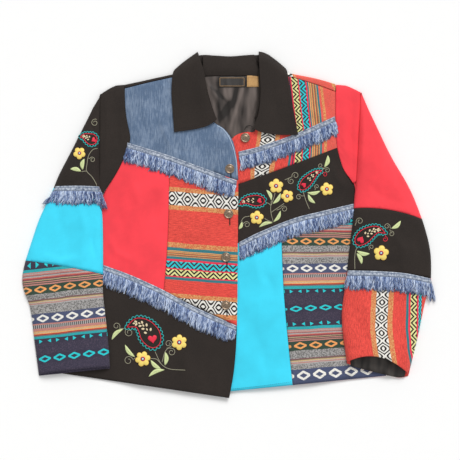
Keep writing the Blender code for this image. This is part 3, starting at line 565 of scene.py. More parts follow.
def awayFrom(points, line):  # distance in plan to a line, and the share along it
    x, y = points[:, 0], points[:, 1]
    nearest, share = np.full(len(points), 1e9), np.zeros(len(points))
    pieces = list(zip(line, line[1:]))
    for number, ((x0, y0), (x1, y1)) in enumerate(pieces):
        along = ((x - x0) * (x1 - x0) + (y - y0) * (y1 - y0)) / ((x1 - x0) ** 2 + (y1 - y0) ** 2)
        along = np.clip(along, 0, 1)
        away = np.hypot(x - x0 - along * (x1 - x0), y - y0 - along * (y1 - y0))
        share = np.where(away < nearest, (number + along) / len(pieces), share)
        nearest = np.minimum(nearest, away)
    return nearest, share


foldStrength = dict(up=2.5, down=1.7)


def creased(points, creases):  # each crease is a line, its half width and its height, down where negative
    total = np.zeros(len(points))
    for line, width, height in creases:
        away, share = awayFrom(points, line)
        strength = foldStrength["up"] if height > 0 else foldStrength["down"]
        total += strength * height * np.exp(-((away / width) ** 2)) * (1 - 0.7 * (2 * share - 1) ** 2)
    return total


seamLook = dict(dip=0.55, reach=2.6, pucker=0.22, puckerReach=9.0, puckerPitch=11.0)
sleeveFolds = [  # where each sleeve folds beside its armhole
    ((-225, 232.9), (-228, 190.9), (-228.5, 130.9), (-228, 85.9), (-225.5, 61.9)),
    ((239, 236.9), (237, 167.9), (234, 112.9), (232, 81.9)),
]
shoulderCorners = [(-184.5, 251.9), (199, 251.9)]
underarmCorners = [(-224, 62), (231, 80)]


def seamed(mesh, points):  # the cloth sinks into its seams and puckers a little beside them
    bm = bmesh.new()
    bm.from_mesh(mesh)
    rim = [vert.index for vert in bm.verts if vert.is_boundary]
    bm.free()
    tree = KDTree(len(rim))
    for index in rim:
        tree.insert(points[index], index)
    tree.balance()
    away = np.array([tree.find(point)[2] for point in points])
    dip = seamLook["dip"] * np.exp(-((away / seamLook["reach"]) ** 2))
    turns = (points[:, 0] * 1.0 + points[:, 1] * 0.7) * (2 * math.pi / seamLook["puckerPitch"])
    slow = np.sin(points[:, 0] * 0.031 + 1.0) * np.cos(points[:, 1] * 0.043)
    pucker = np.sin(turns + 3 * slow) * seamLook["pucker"] * (0.5 + 0.5 * slow)
    edge = np.exp(-away / seamLook["puckerReach"]) * (1 - np.exp(-away / 2))
    folded = np.minimum(*[awayFrom(points, fold)[0] for fold in sleeveFolds])
    return (pucker * edge * 2 - dip) * np.clip((folded - 2) / 6, 0, 1)


def setWeave(mesh, along, across):
    layer = mesh.uv_layers.new(name="weave")
    at = np.empty(len(mesh.loops), int)
    mesh.loops.foreach_get("vertex_index", at)
    layer.data.foreach_set("uv", (np.stack([along[at], across[at]], axis=1) * mm).ravel())


def sloped(slope, fromX, stretch=1.0):  # rows across the piece, falling to the right by this slope
    def weaveOf(x, y):
        return x * stretch, weaveOrigin[1] - y - slope * (x - fromX)

    return weaveOf


def stripePanelRows(x, y):
    down = weaveOrigin[1] - y
    rise = np.interp(down, (432, 684), (0.0, 0.09))
    pitch = np.interp(down, (433.8, 678.6), (24.4, 29.0))
    first = np.interp(down, (482.4, 556.2, 622.8, 678.6), (118.7, 125, 132.8, 139))
    return 13.5 + repeats["rings"] * (x - first) / pitch, down + rise * (x - 115)


def ikatYokeColumns(x, y):
    across, down = x + weaveOrigin[0], weaveOrigin[1] - y
    lean = np.interp(down, (135, 207, 234, 279, 315), (-8.0, 0.0, 3.0, 0.4, -3.0))
    inner = np.interp(down, (207, 252, 304.2), (0.0, -2.0, -9.0)) * np.clip((536.4 - across) / 54, 0, 1)
    return down, across - lean - inner


def shoulderColumns(x, y):
    return weaveOrigin[1] - y, x + weaveOrigin[0] + 0.45 * (y - 255)


def cuffColumns(x, y):
    down = weaveOrigin[1] - y
    bow = np.interp(down, (513, 534.6, 594, 630, 657), (1.0, 0.0, -2.2, 1.6, 7.0))
    return (down - 6.3) * 0.87, x + weaveOrigin[0] - bow


def leftCuffRows(x, y):
    across, down = sloped(-0.11, -296)(x, y)
    return 13.5 + 1.02 * (across + 334) - np.interp(down, (525.6, 567, 640.8), (0, 4.2, 8.3)), down


# Finer creases than the solids have: a line, its half width and its height
bodyCreases = [
    (((-123.2, 202.5), (-112.4, 170.1), (-99.8, 139.5), (-99.8, 119.7)), 5, 0.8),
    (((-92.6, 134.1), (-76.4, 130.5), (-54.8, 132.3)), 4, -0.6),
    (((-22.4, 153.9), (-11.6, 143.1), (-4.4, 128.7)), 3.5, 1.0),
    (((-9.8, 157.5), (1, 146.7), (8.2, 132.3)), 3, 0.9),
    (((-36.8, 134.1), (-11.6, 139.5), (8.2, 153.9)), 4, 0.8),
    (((-47.6, 152.1), (-22.4, 164.7), (-0.8, 168.3)), 5, 0.6),
    (((-65.6, 249.3), (-72.8, 216.9), (-69.2, 184.5)), 8, 0.5),
    (((-166.4, 233.1), (-155.6, 191.7), (-137.6, 152.1)), 8, -0.6),
    (((-171.8, 83.7), (-155.6, 35.1), (-177.2, -18.9)), 9, 0.8),
    (((-195.2, 35.1), (-180.8, -27.9), (-195.2, -67.5)), 8, -0.9),
    (((-137.6, 94.5), (-126.8, 17.1), (-137.6, -78.3)), 8, -0.6),
    (((-213.2, -18.9), (-198.8, -49.5), (-166.4, -67.5)), 6, 0.7),
    (((-87.2, 44.1), (-47.6, 18.9), (-8, 15.3)), 7, -0.5),
    (((-80, -9.9), (-54.8, -20.7), (-22.4, -13.5)), 6, 0.4),
    (((-90.8, -67.5), (-65.6, -85.5), (-72.8, -121.5)), 7, 0.5),
    (((-51.2, -45.9), (-26, -67.5), (-8, -107.1)), 7, -0.4),
    (((-191.6, -171.9), (-206, -216.9), (-198.8, -265.5)), 9, 0.8),
    (((-227.6, -135.9), (-231.2, -189.9), (-224, -254.7)), 8, -0.8),
    (((-65.6, -198.9), (-72.8, -243.9), (-65.6, -294.3)), 9, 0.7),
    (((-33.2, -225.9), (-38.6, -265.5), (-33.2, -301.5)), 7, -0.5),
    (((-119.6, -258.3), (-123.2, -276.3), (-116, -287.1)), 6, -0.5),
    (((132.4, 233.1), (154, 202.5), (179.2, 188.1)), 7, 0.6),
    (((161.2, 170.1), (172, 148.5), (186.4, 134.1)), 5, -0.6),
    (((186.4, 238.5), (179.2, 213.3), (191.8, 191.7)), 5, -0.6),
    (((64, 87.3), (82, 33.3), (71.2, 4.5)), 9, 0.7),
    (((118, 101.7), (132.4, 62.1), (125.2, 29.7)), 9, -0.7),
    (((186.4, 119.7), (197.2, 87.3), (215.2, 62.1)), 6, 0.7),
    (((53.2, -67.5), (64, -107.1), (56.8, -153.9)), 9, 0.8),
    (((64, -85.5), (78.4, -103.5), (85.6, -128.7)), 6, -0.6),
    (((42.4, -171.9), (64, -225.9), (78.4, -279.9)), 10, -0.6),
    (((125.2, -27.9), (139.6, -67.5), (132.4, -117.9)), 8, -0.7),
    (((172, -2.7), (186.4, -45.9), (179.2, -92.7)), 8, 0.8),
    (((132.4, -135.9), (150.4, -198.9), (143.2, -265.5)), 9, 0.8),
    (((186.4, -153.9), (179.2, -207.9), (172, -254.7)), 9, -0.8),
]
sleeveCreases = [
    (((-249.2, 191.7), (-231.2, 152.1), (-229.4, 80.1)), 5, -1.2),
    (((-270.8, 152.1), (-278, 116.1), (-292.4, 80.1)), 6, 0.8),
    (((-260, 87.3), (-270.8, 72.9), (-288.8, 69.3)), 5, -0.7),
    (((-303.2, 26.1), (-296, -13.5), (-317.6, -49.5)), 9, -0.9),
    (((-263.6, 33.3), (-252.8, -13.5), (-260, -67.5)), 8, 0.9),
    (((-234.8, 15.3), (-242, -27.9), (-233, -67.5)), 5, -0.9),
    (((-328.4, -56.7), (-299.6, -67.5), (-256.4, -60.3)), 6, 0.9),
    (((-364.4, -121.5), (-335.6, -128.7), (-299.6, -117.9)), 6, 1.1),
    (((-357.2, -143.1), (-324.8, -150.3), (-281.6, -141.3)), 5, -0.8),
    (((-256.4, -92.7), (-263.6, -153.9), (-252.8, -225.9)), 8, 0.8),
    (((-303.2, -135.9), (-314, -189.9), (-306.8, -265.5)), 9, -0.8),
    (((233.2, 231.3), (226, 173.7), (231.4, 98.1)), 4, -1.6),
    (((251.2, 245.7), (247.6, 173.7), (244, 94.5)), 6, 1.2),
    (((272.8, 170.1), (283.6, 112.5), (272.8, 51.3)), 9, 0.7),
    (((301.6, 134.1), (308.8, 80.1), (330.4, 33.3)), 8, -0.8),
    (((251.2, 80.1), (276.4, 51.3), (319.6, 36.9)), 7, -0.6),
    (((298, -13.5), (319.6, -45.9), (316, -85.5)), 8, 0.9),
    (((337.6, -13.5), (348.4, -49.5), (341.2, -89.1)), 6, -0.9),
    (((265.6, -56.7), (287.2, -74.7), (316, -67.5)), 6, -0.6),
    (((226, -135.9), (236.8, -189.9), (226, -229.5)), 7, -1.0),
    (((247.6, -128.7), (254.8, -180.9), (269.2, -229.5)), 6, 1.2),
    (((305.2, -135.9), (312.4, -189.9), (305.2, -251.1)), 7, -1.0),
    (((330.4, -135.9), (326.8, -189.9), (319.6, -254.7)), 5, 0.9),
]
gussetCreases = [
    (((227.8, 238.5), (224.2, 170.1), (227.8, 94.5)), 5, -1.2),
    (((211.6, 224.1), (209.8, 170.1), (215.2, 116.1)), 6, 0.5),
    (((-216.8, 231.3), (-213.2, 170.1), (-220.4, 101.7)), 6, 0.7),
    (((-195.2, 224.1), (-197, 170.1), (-189.8, 134.1)), 5, -0.6),
]
liningCreases = [
    (((-33.2, 252.9), (-15.2, 224.1), (-0.8, 177.3)), 4, 0.8),
    (((-22.4, 260.1), (-0.8, 216.9), (8.2, 166.5)), 3.5, -0.3),
    (((-0.8, 263.7), (6.4, 224.1), (10, 188.1)), 3.5, 0.7),
    (((17.2, 263.7), (17.2, 216.9), (15.4, 170.1)), 3, -0.3),
    (((29.8, 263.7), (28, 216.9), (20.8, 170.1)), 3.5, 0.85),
    (((44.2, 256.5), (40.6, 216.9), (29.8, 173.7)), 3.5, -0.3),
    (((53.2, 252.9), (51.4, 224.1), (40.6, 180.9)), 3, 0.65),
]
collarCreases = [
    (((-76.4, 285.3), (-80, 242.1), (-72.8, 180.9)), 10, 0.5),
    (((78.4, 288.9), (82, 238.5), (100, 173.7)), 9, -0.5),
]


# How edges move to meet their neighbours: how far, within how many millimetres
edgeLook = dict(
    walls=dict(panel=1.5, lining=1.0, collar=2.4),
    fold=(1.6, 2.5), foldRise=(0.7, 7), foldDip=(1.1, 6), cap=(2.6, 1.2, 12),
    underarm=(4.5, 10), shoulder=(2.6, 9),
    neckTop=(3.2, 252, 10), neckLift=0.6,
    yokeCorner=(51, 177), yokePush=(9.0, 16),
    mouth=(3.0, 0.8, 12),
)


def near(points, x, y, within):  # 1 at a spot, down to 0 at this distance
    return 1 - np.clip(np.hypot(points[:, 0] - x, points[:, 1] - y) / within, 0, 1)


def lowerEdge(points):  # the lowest y near each x
    columns = np.round(points[:, 0] / 4).astype(int)
    lowest = {column: points[columns == column, 1].min() for column in np.unique(columns)}
    return np.array([lowest[column] for column in columns])


clothMade = {}


def fitEdges(node, points):
    if node.endswith("gusset"):  # its outer edge reaches under the sleeve's fold
        push, within = edgeLook["fold"]
        rise, width = edgeLook["foldRise"]
        aside, above, capWithin = edgeLook["cap"]
        for fold in sleeveFolds:
            away = awayFrom(points, fold)[0]
            points[away < within, 0] += math.copysign(push, fold[0][0])
            points[:, 2] += rise * np.exp(-((away / width) ** 2))
            cap = near(points, *fold[0], capWithin)
            points[:, 0] += math.copysign(aside, fold[0][0]) * cap
            points[:, 1] += above * cap
        for x, y in underarmCorners:
            points[:, 1] -= edgeLook["underarm"][0] * near(points, x, y, edgeLook["underarm"][1])
        for x, y in shoulderCorners:
            points[:, 0] -= math.copysign(edgeLook["shoulder"][0], x) * near(points, x, y, edgeLook["shoulder"][1])
    if node in ("sleeve_l_black", "sleeve_l_turquoise", "sleeve_r_red"):  # the sleeve's fold beside the gusset is soft
        dip, width = edgeLook["foldDip"]
        for fold in sleeveFolds:
            points[:, 2] -= dip * np.exp(-((awayFrom(points, fold)[0] / width) ** 2))
    if node == "neck_lining":  # its upper edge reaches the stand's seam
        reach, start, over = edgeLook["neckTop"]
        points[:, 1] += reach * np.clip((points[:, 1] - start) / over, 0, 1)
        points[:, 2] += edgeLook["neckLift"]
    if node == "ikat_yoke":  # its corner stays under the collar
        push, within = edgeLook["yokePush"]
        points[:, 1] -= push * near(points, *edgeLook["yokeCorner"], within)
    if node == "sleeve_r_lining":  # its lower edge reaches the mouth's rim
        reach, lift, over = edgeLook["mouth"]
        edge = np.clip(1 - (points[:, 1] - lowerEdge(points)) / over, 0, 1)
        points[:, 1] -= reach * edge
        points[:, 2] += lift * edge


def clothTop(node, material, creases, weave=None, wall=1.5, levels=3, seams=True):
    bm = solidCopy(node)
    hidden = [face for face in bm.faces if face.normal.z < 0.1]
    bmesh.ops.delete(bm, geom=hidden, context="FACES")
    joinTriangles(bm)
    mesh = bpy.data.meshes.new("cloth_" + node)
    bm.to_mesh(mesh)
    bm.free()
    obj = newPiece("cloth_" + node, mesh, materials[material], [node])
    smoothed(obj, levels).boundary_smooth = "PRESERVE_CORNERS"
    applyAll(obj)
    mesh = obj.data
    points = pointsOf(mesh)
    points[:, 2] += creased(points, creases)
    fitEdges(node, points)
    if seams:
        points[:, 2] += seamed(mesh, points)
    setPoints(mesh, points)
    if weave:
        setWeave(mesh, *weave(points[:, 0], points[:, 1]))
    clothMade[node] = (points * mm, [list(face.vertices) for face in mesh.polygons])
    thickened(obj, wall)
    if wall > 2:
        soft = obj.modifiers.new("edge", "BEVEL")
        soft.width = 0.6 * mm
        soft.segments = 2
        soft.angle_limit = 1.0
    applyAll(obj)
    obj.data.shade_smooth()


def clothWhole(node, material, weave=None, levels=2, sharp=0.8):  # a wall kept closed, its rim crisp
    bm = solidCopy(node)
    joinTriangles(bm)
    bm.normal_update()
    layer = bm.edges.layers.float.new("crease_edge")
    for edge in bm.edges:
        edge[layer] = 1.0 if edge.calc_face_angle(0) > sharp else 0.0
    mesh = bpy.data.meshes.new("cloth_" + node)
    bm.to_mesh(mesh)
    bm.free()
    obj = newPiece("cloth_" + node, mesh, materials[material], [node])
    smoothed(obj, levels)
    applyAll(obj)
    mesh = obj.data
    points = pointsOf(mesh)
    if weave:
        setWeave(mesh, *weave(points[:, 0], points[:, 1]))
    mesh.shade_smooth()


leftRows = sloped(0.075, -47.6, 0.86)
topPieces = [  # node, finish, slot, creases, weave
    ("denim_yoke", "denim", "denim", bodyCreases, None),
    ("red_panel", "red_twill", "red_twill", bodyCreases, None),
    ("ikat_panel", "ikat_across", "ikat_weave", bodyCreases, leftRows),
    ("black_hem_panel", "black_twill", "black_twill", bodyCreases, None),
    ("ikat_yoke", "ikat_down", "ikat_weave", bodyCreases, ikatYokeColumns),
    ("black_panel", "black_twill", "black_twill", bodyCreases, None),
    ("turquoise_panel", "turquoise_twill", "turquoise_twill", bodyCreases, None),
    ("striped_panel", "stripe_panel", "stripe_weave", bodyCreases, stripePanelRows),
    ("sleeve_l_black", "black_twill", "black_twill", sleeveCreases, None),
    ("sleeve_l_turquoise", "turquoise_twill", "turquoise_twill", sleeveCreases, None),
    ("sleeve_l_cuff", "stripe_cuff", "stripe_weave", sleeveCreases, leftCuffRows),
    ("sleeve_r_red", "red_twill", "red_twill", sleeveCreases, None),
    ("sleeve_r_black", "black_twill", "black_twill", sleeveCreases, None),
    ("sleeve_r_cuff", "ikat_cuff", "ikat_weave", sleeveCreases, cuffColumns),
    ("sleeve_l_gusset", "black_twill", "black_twill", gussetCreases, None),
    ("sleeve_r_gusset", "red_twill", "red_twill", gussetCreases, None),
    ("neck_lining", "satin_lining", "satin_lining", liningCreases, None),
    # the lining deep in the right cuff's mouth is given the darker satin: painted shade
    ("sleeve_r_lining", "satin_painted_shade", "satin_lining", [], None),
]
for node, material, slot, creases, weave in topPieces:
    wall = edgeLook["walls"]["lining" if "lining" in node else "panel"]
    clothTop(node, material, creases, weave, wall, seams="lining" not in node)
for node in ("collar_leaf_l", "collar_leaf_r"):
    clothTop(node, "black_twill", collarCreases, wall=edgeLook["walls"]["collar"], seams=False)
wholePieces = [  # node, finish, slot, weave
    ("back_left", "black_twill", "black_twill", None),
    ("back_right", "ikat_shoulder", "ikat_weave", shoulderColumns),
    ("collar_stand", "black_twill", "black_twill", None),
    ("collar_fall", "black_twill", "black_twill", None),
    ("sleeve_l_under_black", "black_twill", "black_twill", None),
    ("sleeve_l_under_turquoise", "turquoise_twill", "turquoise_twill", None),
    ("sleeve_l_under_cuff", "stripe_cuff", "stripe_weave", leftCuffRows),
    ("sleeve_r_under_red", "red_twill", "red_twill", None),
    ("sleeve_r_under_black", "black_twill", "black_twill", None),
    ("sleeve_r_under_cuff", "ikat_cuff", "ikat_weave", cuffColumns),
]
for node, material, slot, weave in wholePieces:
    clothWhole(node, material, weave)
print("cloth made")


def groundOf(*names):  # the cloth to lay something on
    points, faces = [], []
    for name in names:
        given, polygons = clothMade[name]
        first = len(points)
        points += [Vector(point) for point in given]
        faces += [[first + k for k in face] for face in polygons]
    return BVHTree.FromPolygons(points, faces)


bodyGround = groundOf(
    "denim_yoke", "red_panel", "ikat_panel", "black_hem_panel", "ikat_yoke", "black_panel",
    "turquoise_panel", "striped_panel",
)
rightGround = groundOf("ikat_yoke", "black_panel", "turquoise_panel", "striped_panel")
leftSleeveGround = groundOf("sleeve_l_black", "sleeve_l_turquoise", "sleeve_l_cuff")
rightSleeveGround = groundOf("sleeve_r_red", "sleeve_r_black", "sleeve_r_cuff")


def heightAt(ground, x, y, otherwise=None):  # millimetres
    hit = ground.ray_cast(Vector((x * mm, y * mm, 0.1)), Vector((0, 0, -1)))[0]
    if hit is None and otherwise is None:
        hit = ground.find_nearest(Vector((x * mm, y * mm, 0.01)))[0]
    return hit.z / mm if hit else otherwise


def smoothLine(points, steps=8):  # a smooth curve through the points
    given = np.array(points, float)
    ends = np.vstack([2 * given[0] - given[1], given, 2 * given[-1] - given[-2]])
    found = []
    for a, b, c, d in zip(ends, ends[1:], ends[2:], ends[3:]):
        for k in range(steps):
            t = k / steps
            found.append(
                0.5 * (2 * b + (c - a) * t + (2 * a - 5 * b + 4 * c - d) * t**2 + (3 * b - a - 3 * c + d) * t**3)
            )
    return np.array(found + [given[-1]])


def evenly(line, pitch):  # points an even distance apart along a line
    length = np.append(0, np.cumsum(np.linalg.norm(np.diff(line, axis=0), axis=1)))
    count = max(2, round(length[-1] / pitch) + 1)
    at = np.linspace(0, length[-1], count)
    return np.stack([np.interp(at, length, line[:, k]) for k in range(line.shape[1])], axis=1)


# Frayed denim strips: where the ribbon's upper edge runs, and which way and how far the fringe falls
trims = [
    dict(
        node="denim_fringe_1", route=((-178, 147.3), (-112, 126.9), (-48, 103.9), (19, 79)),
        lean=-8, fall=27, cut=0.209, on="denim_yoke", tuft=-0.2,
    ),
    dict(
        node="denim_fringe_2", route=((-221, -73), (-172, -91.1), (-117, -116.1), (-61, -146.1), (18.5, -182.2)),
        lean=-10, fall=27, cut=0.264, on="black_hem_panel", tuft=-0.4,
    ),
    dict(
        node="denim_fringe_3", route=((21.5, 130.8), (64, 141.9), (126, 163.9), (195, 194.6)),
        lean=8, fall=25, cut=0.185, on="ikat_yoke",
    ),
    dict(
        node="denim_fringe_4", route=((22, -32.2), (62, -12.6), (121, 10.9), (168, 22.9), (229, 37.5)),
        lean=6, fall=25, cut=0.219, on="black_panel", tuft=-0.55,
    ),
    dict(
        node="sleeve_l_fringe", route=((-307, 68.6), (-269, 69.4), (-229, 68)),
        cut=0.079, on="sleeve_l_turquoise", lean=-4, fall=25, flare=0.75, tuft=0.4,
    ),
    dict(
        node="sleeve_r_fringe", route=((217.5, -82.8), (271, -84.1), (321, -87.9), (367, -97.3)),
        cut=0.151, on="sleeve_r_cuff", lean=4, fall=27, flare=0.25, tuft=0.35,
    ),
]
trimLook = dict(ribbon=11.0, lift=0.9, wall=0.8, clump=4.2, yarns=7, strands=3, wave=1.5, thick=0.52, spread=0.75)
trimGrounds = {
    "denim_fringe_1": bodyGround, "denim_fringe_2": bodyGround,
    "denim_fringe_3": rightGround, "denim_fringe_4": rightGround,
    "sleeve_l_fringe": leftSleeveGround, "sleeve_r_fringe": rightSleeveGround,
}


def opened(trim, share):  # how far a strip opens sideways towards its ends
    return trim.get("flare", 0.0) * (2 * share - 1) ** 3


def makeRibbonPiece(trim, ground):
    line = evenly(smoothLine(trim["route"]), 3.0)
    lean = math.radians(trim["lean"])
    down = np.array((math.sin(lean), -math.cos(lean)))
    across = np.array((-down[1], down[0]))
    columns = 7
    points = []
    for number, at in enumerate(line):
        spread = opened(trim, number / (len(line) - 1)) * trimLook["spread"]
        for k in range(columns):
            share = k / (columns - 1)
            x, y = at + (down + across * spread) * trimLook["ribbon"] * share
            ripple = 0.25 * math.sin(number * 0.9 + trim["fall"]) * math.sin(number * 0.23)
            crown = 0.5 * math.sin(math.pi * share) ** 0.6
            points.append((x, y, heightAt(ground, x, y) + trimLook["lift"] + crown + ripple * share))
    points = np.array(points)
    faces = []
    for row in range(len(line) - 1):
        for k in range(columns - 1):
            a = row * columns + k
            faces.append((a, a + columns, a + columns + 1, a + 1)[::-1])
    mesh = bpy.data.meshes.new("ribbon_" + trim["node"])
    mesh.from_pydata((points * mm).tolist(), [], faces)
    obj = newPiece("ribbon_" + trim["node"], mesh, materials["ribbon"], [trim["node"]])
    along = np.repeat(np.arange(len(line)) * 3.0, columns)
    across = np.tile(np.linspace(0, trimLook["ribbon"], columns), len(line))
    setWeave(mesh, along, across)
    thickened(obj, trimLook["wall"])
    applyAll(obj)
    obj.data.shade_smooth()
    return obj, line, down


def strandMesh(name, paths, widths, tintsAndShade):  # three-sided threads, all with the same number of points
    paths, widths = np.array(paths), np.array(widths)
    count, steps, _ = paths.shape
    along = np.gradient(paths, axis=1)
    along /= np.linalg.norm(along, axis=2, keepdims=True) + 1e-9
    side = np.cross(along, (0, 0, 1.0))
    side /= np.linalg.norm(side, axis=2, keepdims=True) + 1e-9
    up = np.cross(side, along)
    rings = []
    for angle in (0, 2 * math.pi / 3, 4 * math.pi / 3):
        rings.append(paths + (side * math.sin(angle) + up * math.cos(angle)) * widths[..., None])
    points = np.stack(rings, axis=2).reshape(-1, 3)
    faces = []
    for number in range(count):
        first = number * steps * 3
        for step in range(steps - 1):
            a = first + step * 3
            for k in range(3):
                n = (k + 1) % 3
                faces.append((a + k, a + n, a + 3 + n, a + 3 + k))
        last = first + (steps - 1) * 3
        faces.append((first, first + 2, first + 1))
        faces.append((last, last + 1, last + 2))
    mesh = bpy.data.meshes.new(name)
    mesh.from_pydata((points * mm).tolist(), [], faces)
    bm = bmesh.new()
    bm.from_mesh(mesh)
    bmesh.ops.recalc_face_normals(bm, faces=bm.faces)
    bm.to_mesh(mesh)
    bm.free()
    layer = mesh.attributes.new("tint_and_shade", "FLOAT", "POINT")
    layer.data.foreach_set("value", np.repeat(np.clip(tintsAndShade, 0, 1).ravel(), 3).astype(np.float32))
    mesh.shade_smooth()
    return mesh


def makeFray(trim, line, down, ground):
    fine = evenly(line, 0.2)
    length = 0.2 * (len(fine) - 1)
    paths, widths, tintsAndShade = [], [], []
    clumps = round(length / trimLook["clump"]) * 2
    steps = 8
    for clump in range(clumps):
        centre = length * (clump + 0.5) / clumps
        swing = chance.gauss(0, 0.08)
        fall = trim["fall"] * chance.uniform(0.88, 1.06)
        layer = clump % 2
        # clumps of the under layer are darker: painted shade beneath the upper layer, on top of a random tone
        toneAndLayerShade = chance.gauss(0.56, 0.12) - 0.1 * (1 - layer)
        bend = chance.uniform(-1.2, 1.2)
        opening = opened(trim, centre / length)
        flare = opening * (1.0 if opening < 0 else 0.45)
        fall *= 1 + trim.get("tuft", 0.0) * max(0.0, centre / length * 12 - 11)
        for yarn in range(trimLook["yarns"]):
            offset = (2 * (yarn + 0.5) / trimLook["yarns"] - 1 + chance.uniform(-0.2, 0.2)) * trimLook["clump"] * 0.62
            reach = fall * chance.uniform(0.78, 1.04)
            phase, freq = chance.uniform(0, 6.3), chance.uniform(6, 12)
            amount = trimLook["wave"] * chance.uniform(0.4, 1.2)
            across = np.array((-down[1], down[0]))
            drift = (swing + flare) * reach - offset * 0.15 + chance.gauss(0, 1.2)
            high = 0.6 + layer * 0.8 + chance.uniform(0, 1.5)
            # strands that lie lower are darker: painted shade between the strands, added to their random tone
            shade = toneAndLayerShade + chance.gauss(0, 0.38) - 0.18 * (1 - high / 2.9)
            for strand in range(trimLook["strands"]):
                aside, short = chance.uniform(-0.7, 0.7), chance.uniform(0.9, 1.03)
                root = fine[int(np.clip((centre + offset + aside) / 0.2, 0, len(fine) - 1))]
                root = root + (down + across * opening * trimLook["spread"]) * (trimLook["ribbon"] - 1.2)
                path = []
                for step in range(steps):
                    t = step / (steps - 1)
                    curl = bend * math.sin(math.pi * t) + amount * math.sin(phase + freq * t) * (0.4 + t)
                    at = root + down * reach * short * t + across * (drift * t**1.3 + curl)
                    rest = heightAt(ground, *at)
                    lift = high * (1 - 0.45 * t) * min(1, 0.55 + 2.5 * t) + 0.4
                    path.append((*at, max(rest, 1.0) + lift + 0.5 * math.sin(phase * 2 + aside * 2 + 7 * t)))
                paths.append(path)
                width = trimLook["thick"] * chance.uniform(0.8, 1.25)
                widths.append([width * share for share in (1, 1, 1, 1, 0.95, 0.9, 0.8, 0.4)])
                own = shade + chance.gauss(0, 0.1)
                tintsAndShade.append([own + 0.2 * math.sin(phase * 3 + 2.1 * k) for k in range(steps)])
    mesh = strandMesh("fray_" + trim["node"], paths, widths, tintsAndShade)
    obj = newPiece("fray_" + trim["node"], mesh, materials["fray"], [trim["node"]])
    print("fray", trim["node"], len(paths), "strands")
    return obj


for trim in trims:
    ground = trimGrounds[trim["node"]]
    ribbon, line, down = makeRibbonPiece(trim, ground)
    fray = makeFray(trim, line, down, ground)
print("trims made")


